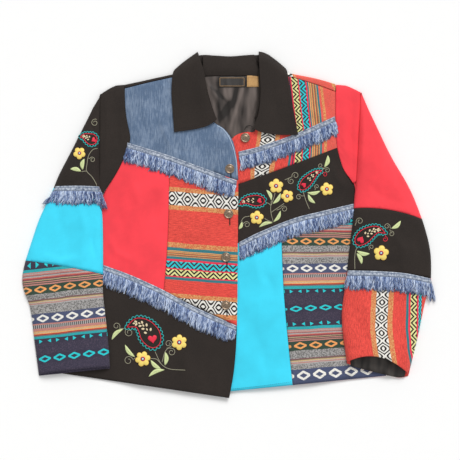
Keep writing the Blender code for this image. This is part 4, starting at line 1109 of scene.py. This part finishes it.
# Embroidery: raised threads laid on the cloth, one joined mesh for each place
class Stitching:
    def __init__(self, name, ground):
        self.name = name
        self.ground = ground
        self.points, self.faces, self.finish = [], [], []
        self.threads = []

    def lay(self, points, faces, thread):
        if thread not in self.threads:
            self.threads.append(thread)
        first = len(self.points)
        self.points += [(x, y, heightAt(self.ground, x, y) + h) for x, y, h in points]
        self.faces += [[first + k for k in face] for face in faces]
        self.finish += [self.threads.index(thread)] * len(faces)

    def cord(self, line, width, high, thread, taper=False):  # a half round thread along a line
        line = np.array(line, float)
        along = np.gradient(line, axis=0)
        along /= np.linalg.norm(along, axis=1, keepdims=True) + 1e-9
        side = np.stack([-along[:, 1], along[:, 0]], axis=1)
        section = ((-0.5, -0.15), (-0.34, 0.7), (0.0, 1.0), (0.34, 0.7), (0.5, -0.15))
        points, faces = [], []
        count = len(line)
        for k in range(count):
            share = k / (count - 1)
            slim = max(0.15, math.sin(math.pi * share) ** 0.5) if taper else 1.0
            for across, lift in section:
                x, y = line[k] + side[k] * across * width * slim
                points.append((x, y, lift * high * (slim if taper else 1.0)))
        n = len(section)
        for k in range(count - 1):
            for j in range(n):
                a, b = k * n + j, k * n + (j + 1) % n
                faces.append((a, a + n, b + n, b))
        faces.append(tuple(range(n)))
        faces.append(tuple(range((count - 1) * n, count * n))[::-1])
        self.lay(points, faces, thread)

    def patch(self, outline, centre, high, thread, inner=(0.96, 0.62)):  # a filled, slightly domed shape
        outline, centre = np.array(outline, float), np.array(centre, float)
        rings = [(1.0, -0.15), (inner[0], 0.75), (inner[1], 1.0)]
        points = [(*(centre + (at - centre) * share), lift * high) for share, lift in rings for at in outline]
        points.append((*centre, high))
        n = len(outline)
        faces = []
        for ring in range(2):
            for k in range(n):
                a, b = ring * n + k, ring * n + (k + 1) % n
                faces.append((a, b, b + n, a + n))
        faces += [(2 * n + k, 2 * n + (k + 1) % n, 3 * n) for k in range(n)]
        faces.append(tuple(range(n))[::-1])
        self.lay(points, faces, thread)

    def flower(self, centre, radius, petals=5, turn=0.3):
        centre = np.array(centre)
        angles = np.linspace(0, 2 * math.pi, petals * 8, endpoint=False)
        reach = radius * (0.7 + 0.3 * np.abs(np.cos(petals * angles / 2)) ** 0.7)
        ring = np.stack([np.cos(angles + turn), np.sin(angles + turn)], axis=1)
        self.patch(centre + ring * reach[:, None], centre, 1.5, "yellow", (0.93, 0.55))
        rim = np.vstack([ring, ring[:1]])
        reach = np.append(reach, reach[0])[:, None]
        self.cord(centre + rim * reach * 0.95, 0.8, 1.3, "amber")
        for angle in angles[4::8]:  # a short stitch between the petals
            way = np.array((math.cos(angle + turn), math.sin(angle + turn))) * radius
            self.cord(centre + np.array((way * 0.36, way * 0.52, way * 0.66)), 0.7, 1.7, "amber", taper=True)
        heart = [(math.cos(k / 14 * 2 * math.pi), math.sin(k / 14 * 2 * math.pi)) for k in range(14)]
        for part, high, thread in ((0.34, 1.9, "crimson"), (0.27, 2.2, "navyThread"), (0.16, 2.5, "palest")):
            self.patch(centre + np.array(heart) * radius * part, centre, high, thread)

    def leaf(self, tip, root, width, bend=0.12):
        tip, root = np.array(tip, float), np.array(root, float)
        length = np.linalg.norm(root - tip)
        along = (root - tip) / length
        side = np.array((-along[1], along[0]))
        shares = np.linspace(0, 1, 13)
        spine = tip + along * length * shares[:, None] + side * (bend * length * np.sin(math.pi * shares))[:, None]
        half = (width / 2 * np.sin(math.pi * shares) ** 0.8)[:, None]
        upper, lower = spine + side * half, spine - side * half
        outline = np.vstack([upper[:-1], lower[:0:-1]])
        self.patch(outline[::-1], spine[6], 1.0, "leaf", (0.92, 0.5))
        self.cord(spine[1:-1], 0.8, 1.3, "vein", taper=True)

    def curl(self, centre, radius, start, turns=1.25, way=1, thread="stem", tail=None):
        angles = np.linspace(0, turns * 2 * math.pi, 26)
        reach = radius * (1 - 0.68 * np.linspace(0, 1, 26))
        begin = math.radians(start)
        line = np.stack([np.cos(begin + way * angles), np.sin(begin + way * angles)], axis=1) * reach[:, None]
        line = line + np.array(centre)
        if tail is not None:
            joined = smoothLine([tail, line[0] * 0.5 + np.array(tail) * 0.5, line[0]], 4)
            line = np.vstack([evenly(joined, 2.0)[:-1], line])
        self.cord(line, 1.15, 0.8, thread)

    def stem(self, *points, width=1.15):
        self.cord(evenly(smoothLine(points, 6), 2.2), width, 0.75, "stem")

    def bead(self, centre, length, width, angle, thread="cream"):
        ring = []
        for k in range(10):
            a, b = math.cos(k / 10 * 2 * math.pi) * length / 2, math.sin(k / 10 * 2 * math.pi) * width / 2
            ring.append((a * math.cos(angle) - b * math.sin(angle), a * math.sin(angle) + b * math.cos(angle)))
        self.patch(np.array(centre) + np.array(ring), centre, 0.9, thread)

    def heart(self, centre, size, turn):
        ring = []
        for k in range(20):
            t = k / 20 * 2 * math.pi
            x = 16 * math.sin(t) ** 3 / 34
            y = (13 * math.cos(t) - 5 * math.cos(2 * t) - 2 * math.cos(3 * t) - math.cos(4 * t)) / 34 + 0.05
            ring.append((x * math.cos(turn) - y * math.sin(turn), x * math.sin(turn) + y * math.cos(turn)))
        self.patch(np.array(centre) + np.array(ring)[::-1] * size, centre, 1.2, "crimson")

    def paisley(self, axis, width, scallop=3.4, heartSize=9.0, heartTurn=0.0, beads=(0.42, 0.86), rows=4, petal=1.0):
        # a bent drop: fat end first, its tail thin
        spine = evenly(smoothLine(axis, 10), 1.2)
        along = np.gradient(spine, axis=0)
        along /= np.linalg.norm(along, axis=1, keepdims=True)
        side = np.stack([-along[:, 1], along[:, 0]], axis=1)
        shares = np.linspace(0, 1, len(spine))

        def halfOf(share):
            fat = np.sqrt(np.clip(1 - (1 - np.clip(share / 0.34, 0, 1)) ** 2, 0, 1))
            slim = 1 - np.clip((share - 0.34) / 0.66, 0, 1) ** 1.35
            return width * fat * slim

        half = halfOf(shares)[:, None]
        outline = np.vstack([spine + side * half, (spine - side * half)[::-1][1:]])
        ring = evenly(np.vstack([outline, outline[:1]]), 1.6)
        self.cord(ring, 1.5, 1.1, "crimson")
        tangent = np.gradient(ring, axis=0)
        tangent /= np.linalg.norm(tangent, axis=1, keepdims=True) + 1e-9
        out = np.stack([tangent[:, 1], -tangent[:, 0]], axis=1)
        area = np.sum(ring[:-1, 0] * ring[1:, 1] - ring[1:, 0] * ring[:-1, 1])
        out = out if area > 0 else -out
        fine = evenly(np.hstack([ring, out]), 0.55)
        count = max(8, round(len(fine) * 0.55 / (1.45 * scallop)))
        waves = np.abs(np.sin(np.linspace(0, count * math.pi, len(fine))))[:, None]
        edge = fine[:, :2] + fine[:, 2:] * (0.9 + scallop * waves**0.65)
        self.cord(edge, 1.45, 1.0, "scallop")
        at = spine[int(len(spine) * 0.2)]
        self.heart(at, heartSize, heartTurn)
        for row in range(rows):
            share = beads[0] + (beads[1] - beads[0]) * row / max(1, rows - 1)
            index = min(len(spine) - 1, int(share * (len(spine) - 1)))
            reach = halfOf(np.array(share)) * 0.34
            angle = math.atan2(along[index][1], along[index][0])
            for way in (-1, 1):
                self.bead(spine[index] + side[index] * way * reach, 3.6 * petal, 2.3 * petal, angle + way * 0.7)
            self.bead(spine[index] + along[index] * 2.2 * petal, 2.8 * petal, 1.8 * petal, angle)

    def dashes(self, line, pitch=3.4, length=2.3, width=0.55, high=0.35, thread="inkThread"):
        line = evenly(np.array(line, float), pitch)
        for a, b in zip(line, line[1:]):
            reach = (b - a) / np.linalg.norm(b - a)
            side = np.array((-reach[1], reach[0])) * width / 2
            end = a + reach * length
            middle = (a + end) / 2
            points = [(*(a - side), -0.15), (*(end - side), -0.15), (*(end + side), -0.15), (*(a + side), -0.15)]
            points += [(*(a + (middle - a) * 0.3), high), (*(end + (middle - end) * 0.3), high)]
            faces = [(0, 1, 5, 4), (2, 3, 4, 5), (1, 2, 5), (3, 0, 4), (3, 2, 1, 0)]
            self.lay(points, faces, thread)

    def finishPiece(self):
        mesh = bpy.data.meshes.new(self.name)
        mesh.from_pydata([tuple(c * mm for c in point) for point in self.points], [], self.faces)
        bm = bmesh.new()
        bm.from_mesh(mesh)
        bmesh.ops.recalc_face_normals(bm, faces=bm.faces)
        bm.to_mesh(mesh)
        bm.free()
        obj = bpy.data.objects.new(self.name, mesh)
        bpy.context.scene.collection.objects.link(obj)
        for thread in self.threads:
            mesh.materials.append(threads[thread])
        mesh.polygons.foreach_set("material_index", self.finish)
        mesh.shade_smooth()
        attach(obj, "root")
        print(self.name, len(self.faces), "faces")
        return obj


hem = Stitching("embroidery_hem", bodyGround)
hem.paisley(
    ((-125.9, -220.5), (-135.8, -200.7), (-146.6, -184.5), (-161, -177.3), (-179, -184.5)),
    17.5, 4.4, 18, 0.15, (0.42, 0.78), 4, 1.7,
)
hem.flower((-84.7, -211.9), 14.4, 6, 0.5)
hem.flower((-150.2, -241.7), 14.2, 6, 0.2)
hem.leaf((-206.5, -208.1), (-185.5, -187.9), 7.4)
hem.leaf((-182.4, -215.8), (-164.1, -238.5), 7.4, -0.1)
hem.leaf((-109.7, -229.1), (-110.6, -253.6), 8, 0.1)
hem.leaf((-136.3, -243.5), (-117.3, -259.9), 7.6, -0.1)
hem.leaf((-140.1, -273.8), (-110.6, -261.2), 7.4, 0.12)
hem.stem((-73.9, -261.9), (-101.6, -259.9), (-115.6, -252.4), (-121.9, -242.3), (-128.2, -228.4))
hem.stem((-115.6, -247.5), (-109.3, -227.2), (-95.3, -215.8))
hem.stem((-136.3, -241), (-125.7, -242.3), (-117.3, -250.7))
hem.curl((-197.7, -182.9), 6.8, -40, 1.2, 1, tail=(-184.4, -187.2))
hem.curl((-174.9, -194.2), 7.8, 130, 1.25, 1, tail=(-183.5, -186.3))
hem.curl((-176.1, -244.8), 8.4, 10, 1.25, 1, tail=(-163.7, -239.4))
hem.curl((-104.1, -214.4), 6.6, -20, 1.2, 1, tail=(-95.3, -216.9))
hem.curl((-98.7, -229.5), 7, 90, 1.2, -1, tail=(-107.4, -222.3))
hem.finishPiece()

chest = Stitching("embroidery_chest", rightGround)
chest.paisley(((68.5, 41.8), (53.2, 42.7), (36.1, 43), (23.5, 35.8)), 9.4, 3.6, 10.5, -1.35, (0.46, 0.8), 3, 1.15)
chest.paisley(((132.8, 62.8), (146.8, 79.2), (160.1, 92), (172, 97)), 8.4, 3.4, 10.5, 2.3, (0.46, 0.8), 3, 1.15)
for centre, radius, turn in (
    ((89.2, 69.1), 13.4, 0.3), ((109.4, 50.9), 11.8, 0.7), ((54.5, 12.2), 12.8, 0.2), ((180.6, 63.5), 12.2, 0.5)
):
    chest.flower(centre, radius, 5, turn)
for tip, root, width in (
    ((71.6, 62.1), (80.9, 42.7), 6.4), ((97.3, 56.5), (82.9, 36.7), 6.8),
    ((97.3, 24.8), (84.2, 4), 6.4), ((58.2, -5.4), (83.4, 2.9), 6.4),
    ((27.8, 4.7), (21.9, -9), 6.0), ((182.6, 124.7), (176.1, 102.4), 7.8),
    ((169.3, 60.3), (144.8, 57.1), 6.6), ((159.9, 37.6), (146.6, 54.5), 7.0),
):
    chest.leaf(tip, root, width)
chest.stem((84.2, 4), (80, 20.7), (79.7, 33.8), (80.9, 42.7))
chest.stem((79.8, 33.3), (75.7, 37.8), (70.8, 38.9))
chest.stem((79.7, 21.1), (91, 28.8), (103.6, 37.6))
chest.stem((80.2, 33.8), (84.7, 46.4), (87.4, 56.5))
chest.stem((82.2, 4.7), (74.8, 6.7), (68.3, 11))
chest.stem((41.7, 14.8), (31.2, 12.4), (26, 4.5))
chest.stem((137.8, 59), (142.8, 42.7), (149.1, 27.5))
chest.stem((171.1, 96.7), (174.5, 100.3), (176.1, 102.4))
chest.curl((169.3, 105.7), 4.6, -60, 1.2, -1, tail=(174.9, 100.6))
chest.curl((181, 97.4), 5.0, 120, 1.2, -1, tail=(173.8, 99))
chest.curl((176.9, 89.5), 4.4, 150, 1.15, -1, "crimson", tail=(170.2, 91.8))
chest.curl((116.2, 77.9), 6.0, 120, 1.3, 1, tail=(104.7, 80.1))
chest.curl((124.1, 87.7), 6.6, 200, 1.2, -1, tail=(111.7, 83))
chest.curl((162.5, 67.9), 4.4, 240, 1.2, -1, tail=(158.7, 61))
chest.curl((130.1, 49), 5.4, 20, 1.25, 1, tail=(139.6, 51.3))
chest.curl((103.6, 27.5), 6.0, 170, 1.3, -1, tail=(90.1, 25.4))
chest.curl((36.6, -0.4), 6.0, 170, 1.3, -1, tail=(27.6, 5.4))
chest.finishPiece()

sleeveLeft = Stitching("embroidery_sleeve_l", leftSleeveGround)
sleeveLeft.paisley(
    ((-233, 149.4), (-243.8, 153.2), (-255.5, 158.2), (-263.2, 156.8)),
    9.8, 3.2, 10.5, -1.0, (0.5, 0.8), 3, 1.1,
)
sleeveLeft.flower((-264.1, 127.8), 11.4, 5, 0.9)
sleeveLeft.leaf((-255.3, 118.1), (-258.2, 97.6), 7.8, -0.12)
sleeveLeft.leaf((-280.9, 99.4), (-260.7, 95), 7.6, 0.1)
sleeveLeft.stem(
    (-231.9, 136.6), (-240.6, 133.6), (-248.1, 122.2), (-250.6, 107.1), (-251.2, 95.6), (-241.6, 85.5),
    (-234.8, 74.3), (-233, 69.3),
)
sleeveLeft.stem((-251, 95.6), (-255.3, 95.4), (-260.4, 94.5))
sleeveLeft.curl((-236.6, 182.7), 6.8, 60, 1.3, 1)
sleeveLeft.curl((-240.9, 115.9), 5.2, 160, 1.25, -1, tail=(-249.2, 119.3))
sleeveLeft.finishPiece()

sleeveRight = Stitching("embroidery_sleeve_r", rightSleeveGround)
sleeveRight.paisley(
    ((233.2, -36), (242.9, -26.1), (256.6, -15.3), (271, -9.9), (285.4, -16.2)),
    12.0, 3.8, 14.5, 2.6, (0.42, 0.78), 4, 1.4,
)
sleeveRight.flower((277.8, -51.7), 14.2, 5, 0.2)
sleeveRight.leaf((257.7, -52.9), (233.7, -47.7), 7.6)
sleeveRight.leaf((243.1, -71.8), (233.7, -51.7), 7.6, -0.1)
sleeveRight.leaf((313.3, 6.5), (295.7, -7.9), 7.6)
sleeveRight.stem((236.8, -40.5), (232.5, -45.9), (230.3, -60.3), (230.7, -81))
sleeveRight.curl((239.3, 5.6), 6.6, 200, 1.3, -1, tail=(230.7, -2.7))
sleeveRight.curl((288.3, -3.8), 5.6, -20, 1.25, 1, tail=(295.7, -7.9))
sleeveRight.curl((296.2, -17.1), 5.2, 120, 1.25, -1, tail=(293.5, -9.5))
sleeveRight.curl((284.7, -26.8), 5.0, 90, 1.2, -1, "crimson", tail=(286.5, -17.8))
sleeveRight.curl((260.2, -41.2), 4.8, 230, 1.2, -1, tail=(255.5, -46.6))
sleeveRight.finishPiece()
print("embroidery made")


# Topstitching
collarLines = {
    "collar_leaf_l": (
        (-52, 304), (-72, 289), (-92, 272), (-94.5, 243), (-92.5, 206), (-90, 171.5), (-64, 175), (-32, 183), (-21, 189)
    ),
    "collar_leaf_r": (
        (60, 305), (84, 292), (104, 275), (112.5, 221), (121.5, 166.5), (91, 166), (64, 170), (50, 175.5)
    ),
}
for node, line in collarLines.items():
    stitches = Stitching("stitches_" + node, groundOf(node))
    corners = [np.array(point) for point in line]
    for a, b in zip(corners, corners[1:]):
        stitches.dashes([a, b], 3.3, 2.3, 0.6, 0.4, "inkThread")
    stitches.finishPiece()
frontStitches = Stitching("stitches_front", bodyGround)
hemLines = [  # along the hem and beside the front's edge
    (smoothLine(((-288.8, -264.6), (-191.6, -281.7), (-83.6, -294.3), (0.1, -303.8))), "inkThread"),
    (smoothLine(((11.1, -295.7), (64, -290), (117.3, -282.6))), "navyThread"),
    (smoothLine(((125.2, -281.7), (186.4, -270), (240.4, -260.1))), "inkThread"),
    (smoothLine(((-3.5, 168.3), (8.2, 148.5), (16.5, 119.7), (18.3, 90.9))), "paleThread"),
]
for line, thread in hemLines:
    frontStitches.dashes(line, 3.6, 2.4, 0.6, 0.35, thread)
yokeEdge = (
    (-17, 178), (-6.2, 171.4), (3.2, 159.3), (9.1, 147.1), (13.4, 134.1), (17.2, 116.1), (18.6, 101.7), (18.8, 87.3)
)
frontStitches.cord(evenly(smoothLine(yokeEdge), 2.0), 1.6, 0.7, "paleThread")
frontStitches.finishPiece()
print("stitches made")


# Buttons, turned as by hand from a disc: a rim, a groove, a raised middle, a ring of ten beads and five in its middle
buttonLook = dict(
    radius=8.4, thick=1.9, steps=36, wear=0.15, clear=0.25,
    profile=((0.5, 0.35), (0.7, 0.25), (0.55, -0.35), (0.5, -0.35), (0.8, 0.0), (0.5, 0.45), (1.2, 0.5), (1.6, 0.25)),
    rings=((10, 4.6, 1.95, 0.75), (5, 1.7, 2.75, 0.95)),  # beads, how far out, how high, and their radius
)
buttonPlaces = [(34, 155.9), (6, 99.9), (4, 18.9), (-1, -59.1), (-1, -145.1)]


def chooseTop(mesh, low, reach=None):
    bm = bmesh.from_edit_mesh(mesh)
    for face in bm.faces:
        centre = face.calc_center_median() / mm
        face.select = face.normal.z > 0.9 and centre.z > low and (reach is None or centre.xy.length < reach)
    bm.select_flush_mode()
    bmesh.update_edit_mesh(mesh)


def turnButton():
    bpy.ops.object.select_all(action="DESELECT")
    radius, thick = buttonLook["radius"] * mm, buttonLook["thick"] * mm
    steps, centre = buttonLook["steps"], (0, 0, thick / 2)
    bpy.ops.mesh.primitive_cylinder_add(vertices=steps, radius=radius, depth=thick, location=centre)
    blank = bpy.context.active_object
    bpy.ops.object.transform_apply(location=True, rotation=True, scale=True)
    bpy.ops.object.mode_set(mode="EDIT")
    bpy.ops.mesh.select_mode(type="FACE")
    chooseTop(blank.data, 1.0)
    for thickness, lift in buttonLook["profile"]:
        bpy.ops.mesh.inset(thickness=thickness * mm, depth=lift * mm)
    bpy.ops.object.mode_set(mode="OBJECT")
    bevel = blank.modifiers.new("worn", "BEVEL")
    bevel.width = buttonLook["wear"] * mm
    bevel.segments = 2
    applyAll(blank)
    beads = []
    for count, out, high, size in buttonLook["rings"]:
        for k in range(count):
            angle = 2 * math.pi * k / count
            at = (out * mm * math.cos(angle), out * mm * math.sin(angle), high * mm)
            bpy.ops.mesh.primitive_uv_sphere_add(segments=8, ring_count=6, radius=size * mm, location=at)
            beads.append(bpy.context.active_object)
    pick(blank)
    for bead in beads:
        bead.select_set(True)
    bpy.ops.object.join()
    bpy.ops.object.transform_apply(location=True, rotation=True, scale=True)
    return blank


blank = turnButton()
for number, (x, y) in enumerate(buttonPlaces, 1):
    mesh = blank.data.copy()
    mesh.name = f"turned_button_{number}"
    ground = rightGround if number == 1 else bodyGround
    rest = max(heightAt(ground, x + 8 * math.cos(k), y + 8 * math.sin(k)) for k in range(7))
    turn = 0.7 * number
    points = pointsOf(mesh)
    spun = points.copy()
    spun[:, 0] = points[:, 0] * math.cos(turn) - points[:, 1] * math.sin(turn) + x
    spun[:, 1] = points[:, 0] * math.sin(turn) + points[:, 1] * math.cos(turn) + y
    spun[:, 2] += rest + buttonLook["clear"]
    setPoints(mesh, spun)
    button = newPiece(f"turned_button_{number}", mesh, materials["brass"], [f"button_{number}"])
    pick(button)
    bpy.ops.object.shade_smooth_by_angle(angle=0.6)
bpy.data.objects.remove(blank)

slits = Stitching("buttonholes", bodyGround)
for x, y in buttonPlaces[1:]:
    for side in (-0.6, 0.6):
        slits.cord(evenly(np.array(((x + 2 + side, y - 8.5), (x + 2 + side, y - 20.0))), 2.0), 1.1, 0.7, "inkThread")
    slits.cord(evenly(np.array(((x + 0.8, y - 20.4), (x + 3.2, y - 20.4))), 1.2), 1.0, 0.8, "goldThread")
slits.finishPiece()
loopStitches = Stitching("collar_loop", rightGround)
loop = smoothLine(((32.5, 171), (37, 177.3), (44.2, 177.3), (46.9, 171)))
loopStitches.cord(evenly(loop, 1.2), 1.1, 1.2, "inkThread")
loopStitches.finishPiece()
print("buttons made")


# Woven labels, left without words: a flat strip with a thin gold line
labelLook = dict(border=2.2, line=0.7, wall=0.55, lift=1.0)
liningGround = groundOf("neck_lining")
labelPlaces = [("neck_label", (-14, 247), (34, 266)), ("size_label", (37, 247.5), (59, 268))]


def makeLabelPiece(node, low, high):
    across, down = np.linspace(low[0], high[0], 25), np.linspace(low[1], high[1], 11)
    points, faces = [], []
    for y in down:
        for x in across:
            points.append((x, y, heightAt(liningGround, x, y) + labelLook["lift"] + 0.12 * math.sin(x * 0.5)))
    for j in range(len(down) - 1):
        for i in range(len(across) - 1):
            a = j * len(across) + i
            faces.append((a, a + 1, a + 1 + len(across), a + len(across)))
    mesh = bpy.data.meshes.new("woven_" + node)
    mesh.from_pydata((np.array(points) * mm).tolist(), [], faces)
    label = newPiece("woven_" + node, mesh, materials[node], [node])
    thickened(label, labelLook["wall"])
    applyAll(label)
    label.data.shade_smooth()
    edging = Stitching("edging_" + node, liningGround)
    inside = labelLook["border"]
    left, right = low[0] + inside, high[0] - inside
    bottom, top = low[1] + inside, high[1] - inside
    corners = [(left, bottom), (right, bottom), (right, top), (left, top), (left, bottom)]
    for a, b in zip(corners, corners[1:]):
        edging.cord(evenly(np.array((a, b), float), 1.5), labelLook["line"], 0.3, "goldThread")
    edging.points = [(x, y, z + labelLook["lift"] + 0.12) for x, y, z in edging.points]
    edging = edging.finishPiece()


for place in labelPlaces:
    makeLabelPiece(*place)
print("labels made")

# Floor, light and camera
studio = dict(
    floor=(0.93, 0.93, 0.925),
    surround=0.66,
    lamp=2.0,
    lampFrom=(0.35, 0.95, 0.85),
    lampSpread=28.0,
    aim=(0.0064, -0.0099, 0.0),
    elevation=88.5,
    distance=6.0,
    width=0.828,
)


def makeFloor():
    mesh = bpy.data.meshes.new("floor")
    reach = 3.0
    corners = [(-reach, -reach, 0), (reach, -reach, 0), (reach, reach, 0), (-reach, reach, 0)]
    mesh.from_pydata([(x, y, -0.00002) for x, y, _ in corners], [], [(0, 1, 2, 3)])
    floor = bpy.data.objects.new("floor", mesh)
    bpy.context.scene.collection.objects.link(floor)
    graph = Graph("studio_paper")
    fine = graph.noise(graph.place(), 0.05, 2.0)
    colour = graph.mix(fine, studio["floor"], tuple(c * 1.01 for c in studio["floor"]))
    mesh.materials.append(graph.finish(colour, 0.9, specular=0.1))


def aimed(obj, at):
    direction = Vector(at) - obj.location
    obj.rotation_euler = direction.to_track_quat("-Z", "Y").to_euler()


def makeStudio():
    world = bpy.data.worlds.new("studio")
    world.use_nodes = True
    world.node_tree.nodes["Background"].inputs["Color"].default_value = (1, 1, 1, 1)
    world.node_tree.nodes["Background"].inputs["Strength"].default_value = studio["surround"]
    bpy.context.scene.world = world
    light = bpy.data.lights.new("window", "SUN")
    light.energy = studio["lamp"]
    light.angle = math.radians(studio["lampSpread"])
    lamp = bpy.data.objects.new("window", light)
    lamp.location = studio["lampFrom"]
    aimed(lamp, (0, 0, 0))
    bpy.context.scene.collection.objects.link(lamp)
    lens = bpy.data.cameras.new("camera")
    lens.sensor_fit = "HORIZONTAL"
    lens.sensor_width = 36
    lens.lens = 36 * studio["distance"] / studio["width"]
    lens.clip_end = 20
    camera = bpy.data.objects.new("camera", lens)
    angle = math.radians(studio["elevation"])
    aim = Vector(studio["aim"])
    camera.location = aim + studio["distance"] * Vector((0, -math.cos(angle), math.sin(angle)))
    aimed(camera, aim)
    bpy.context.scene.collection.objects.link(camera)
    bpy.context.scene.camera = camera
    bpy.context.scene.view_settings.view_transform = "Standard"


makeFloor()
makeStudio()
print("studio made")
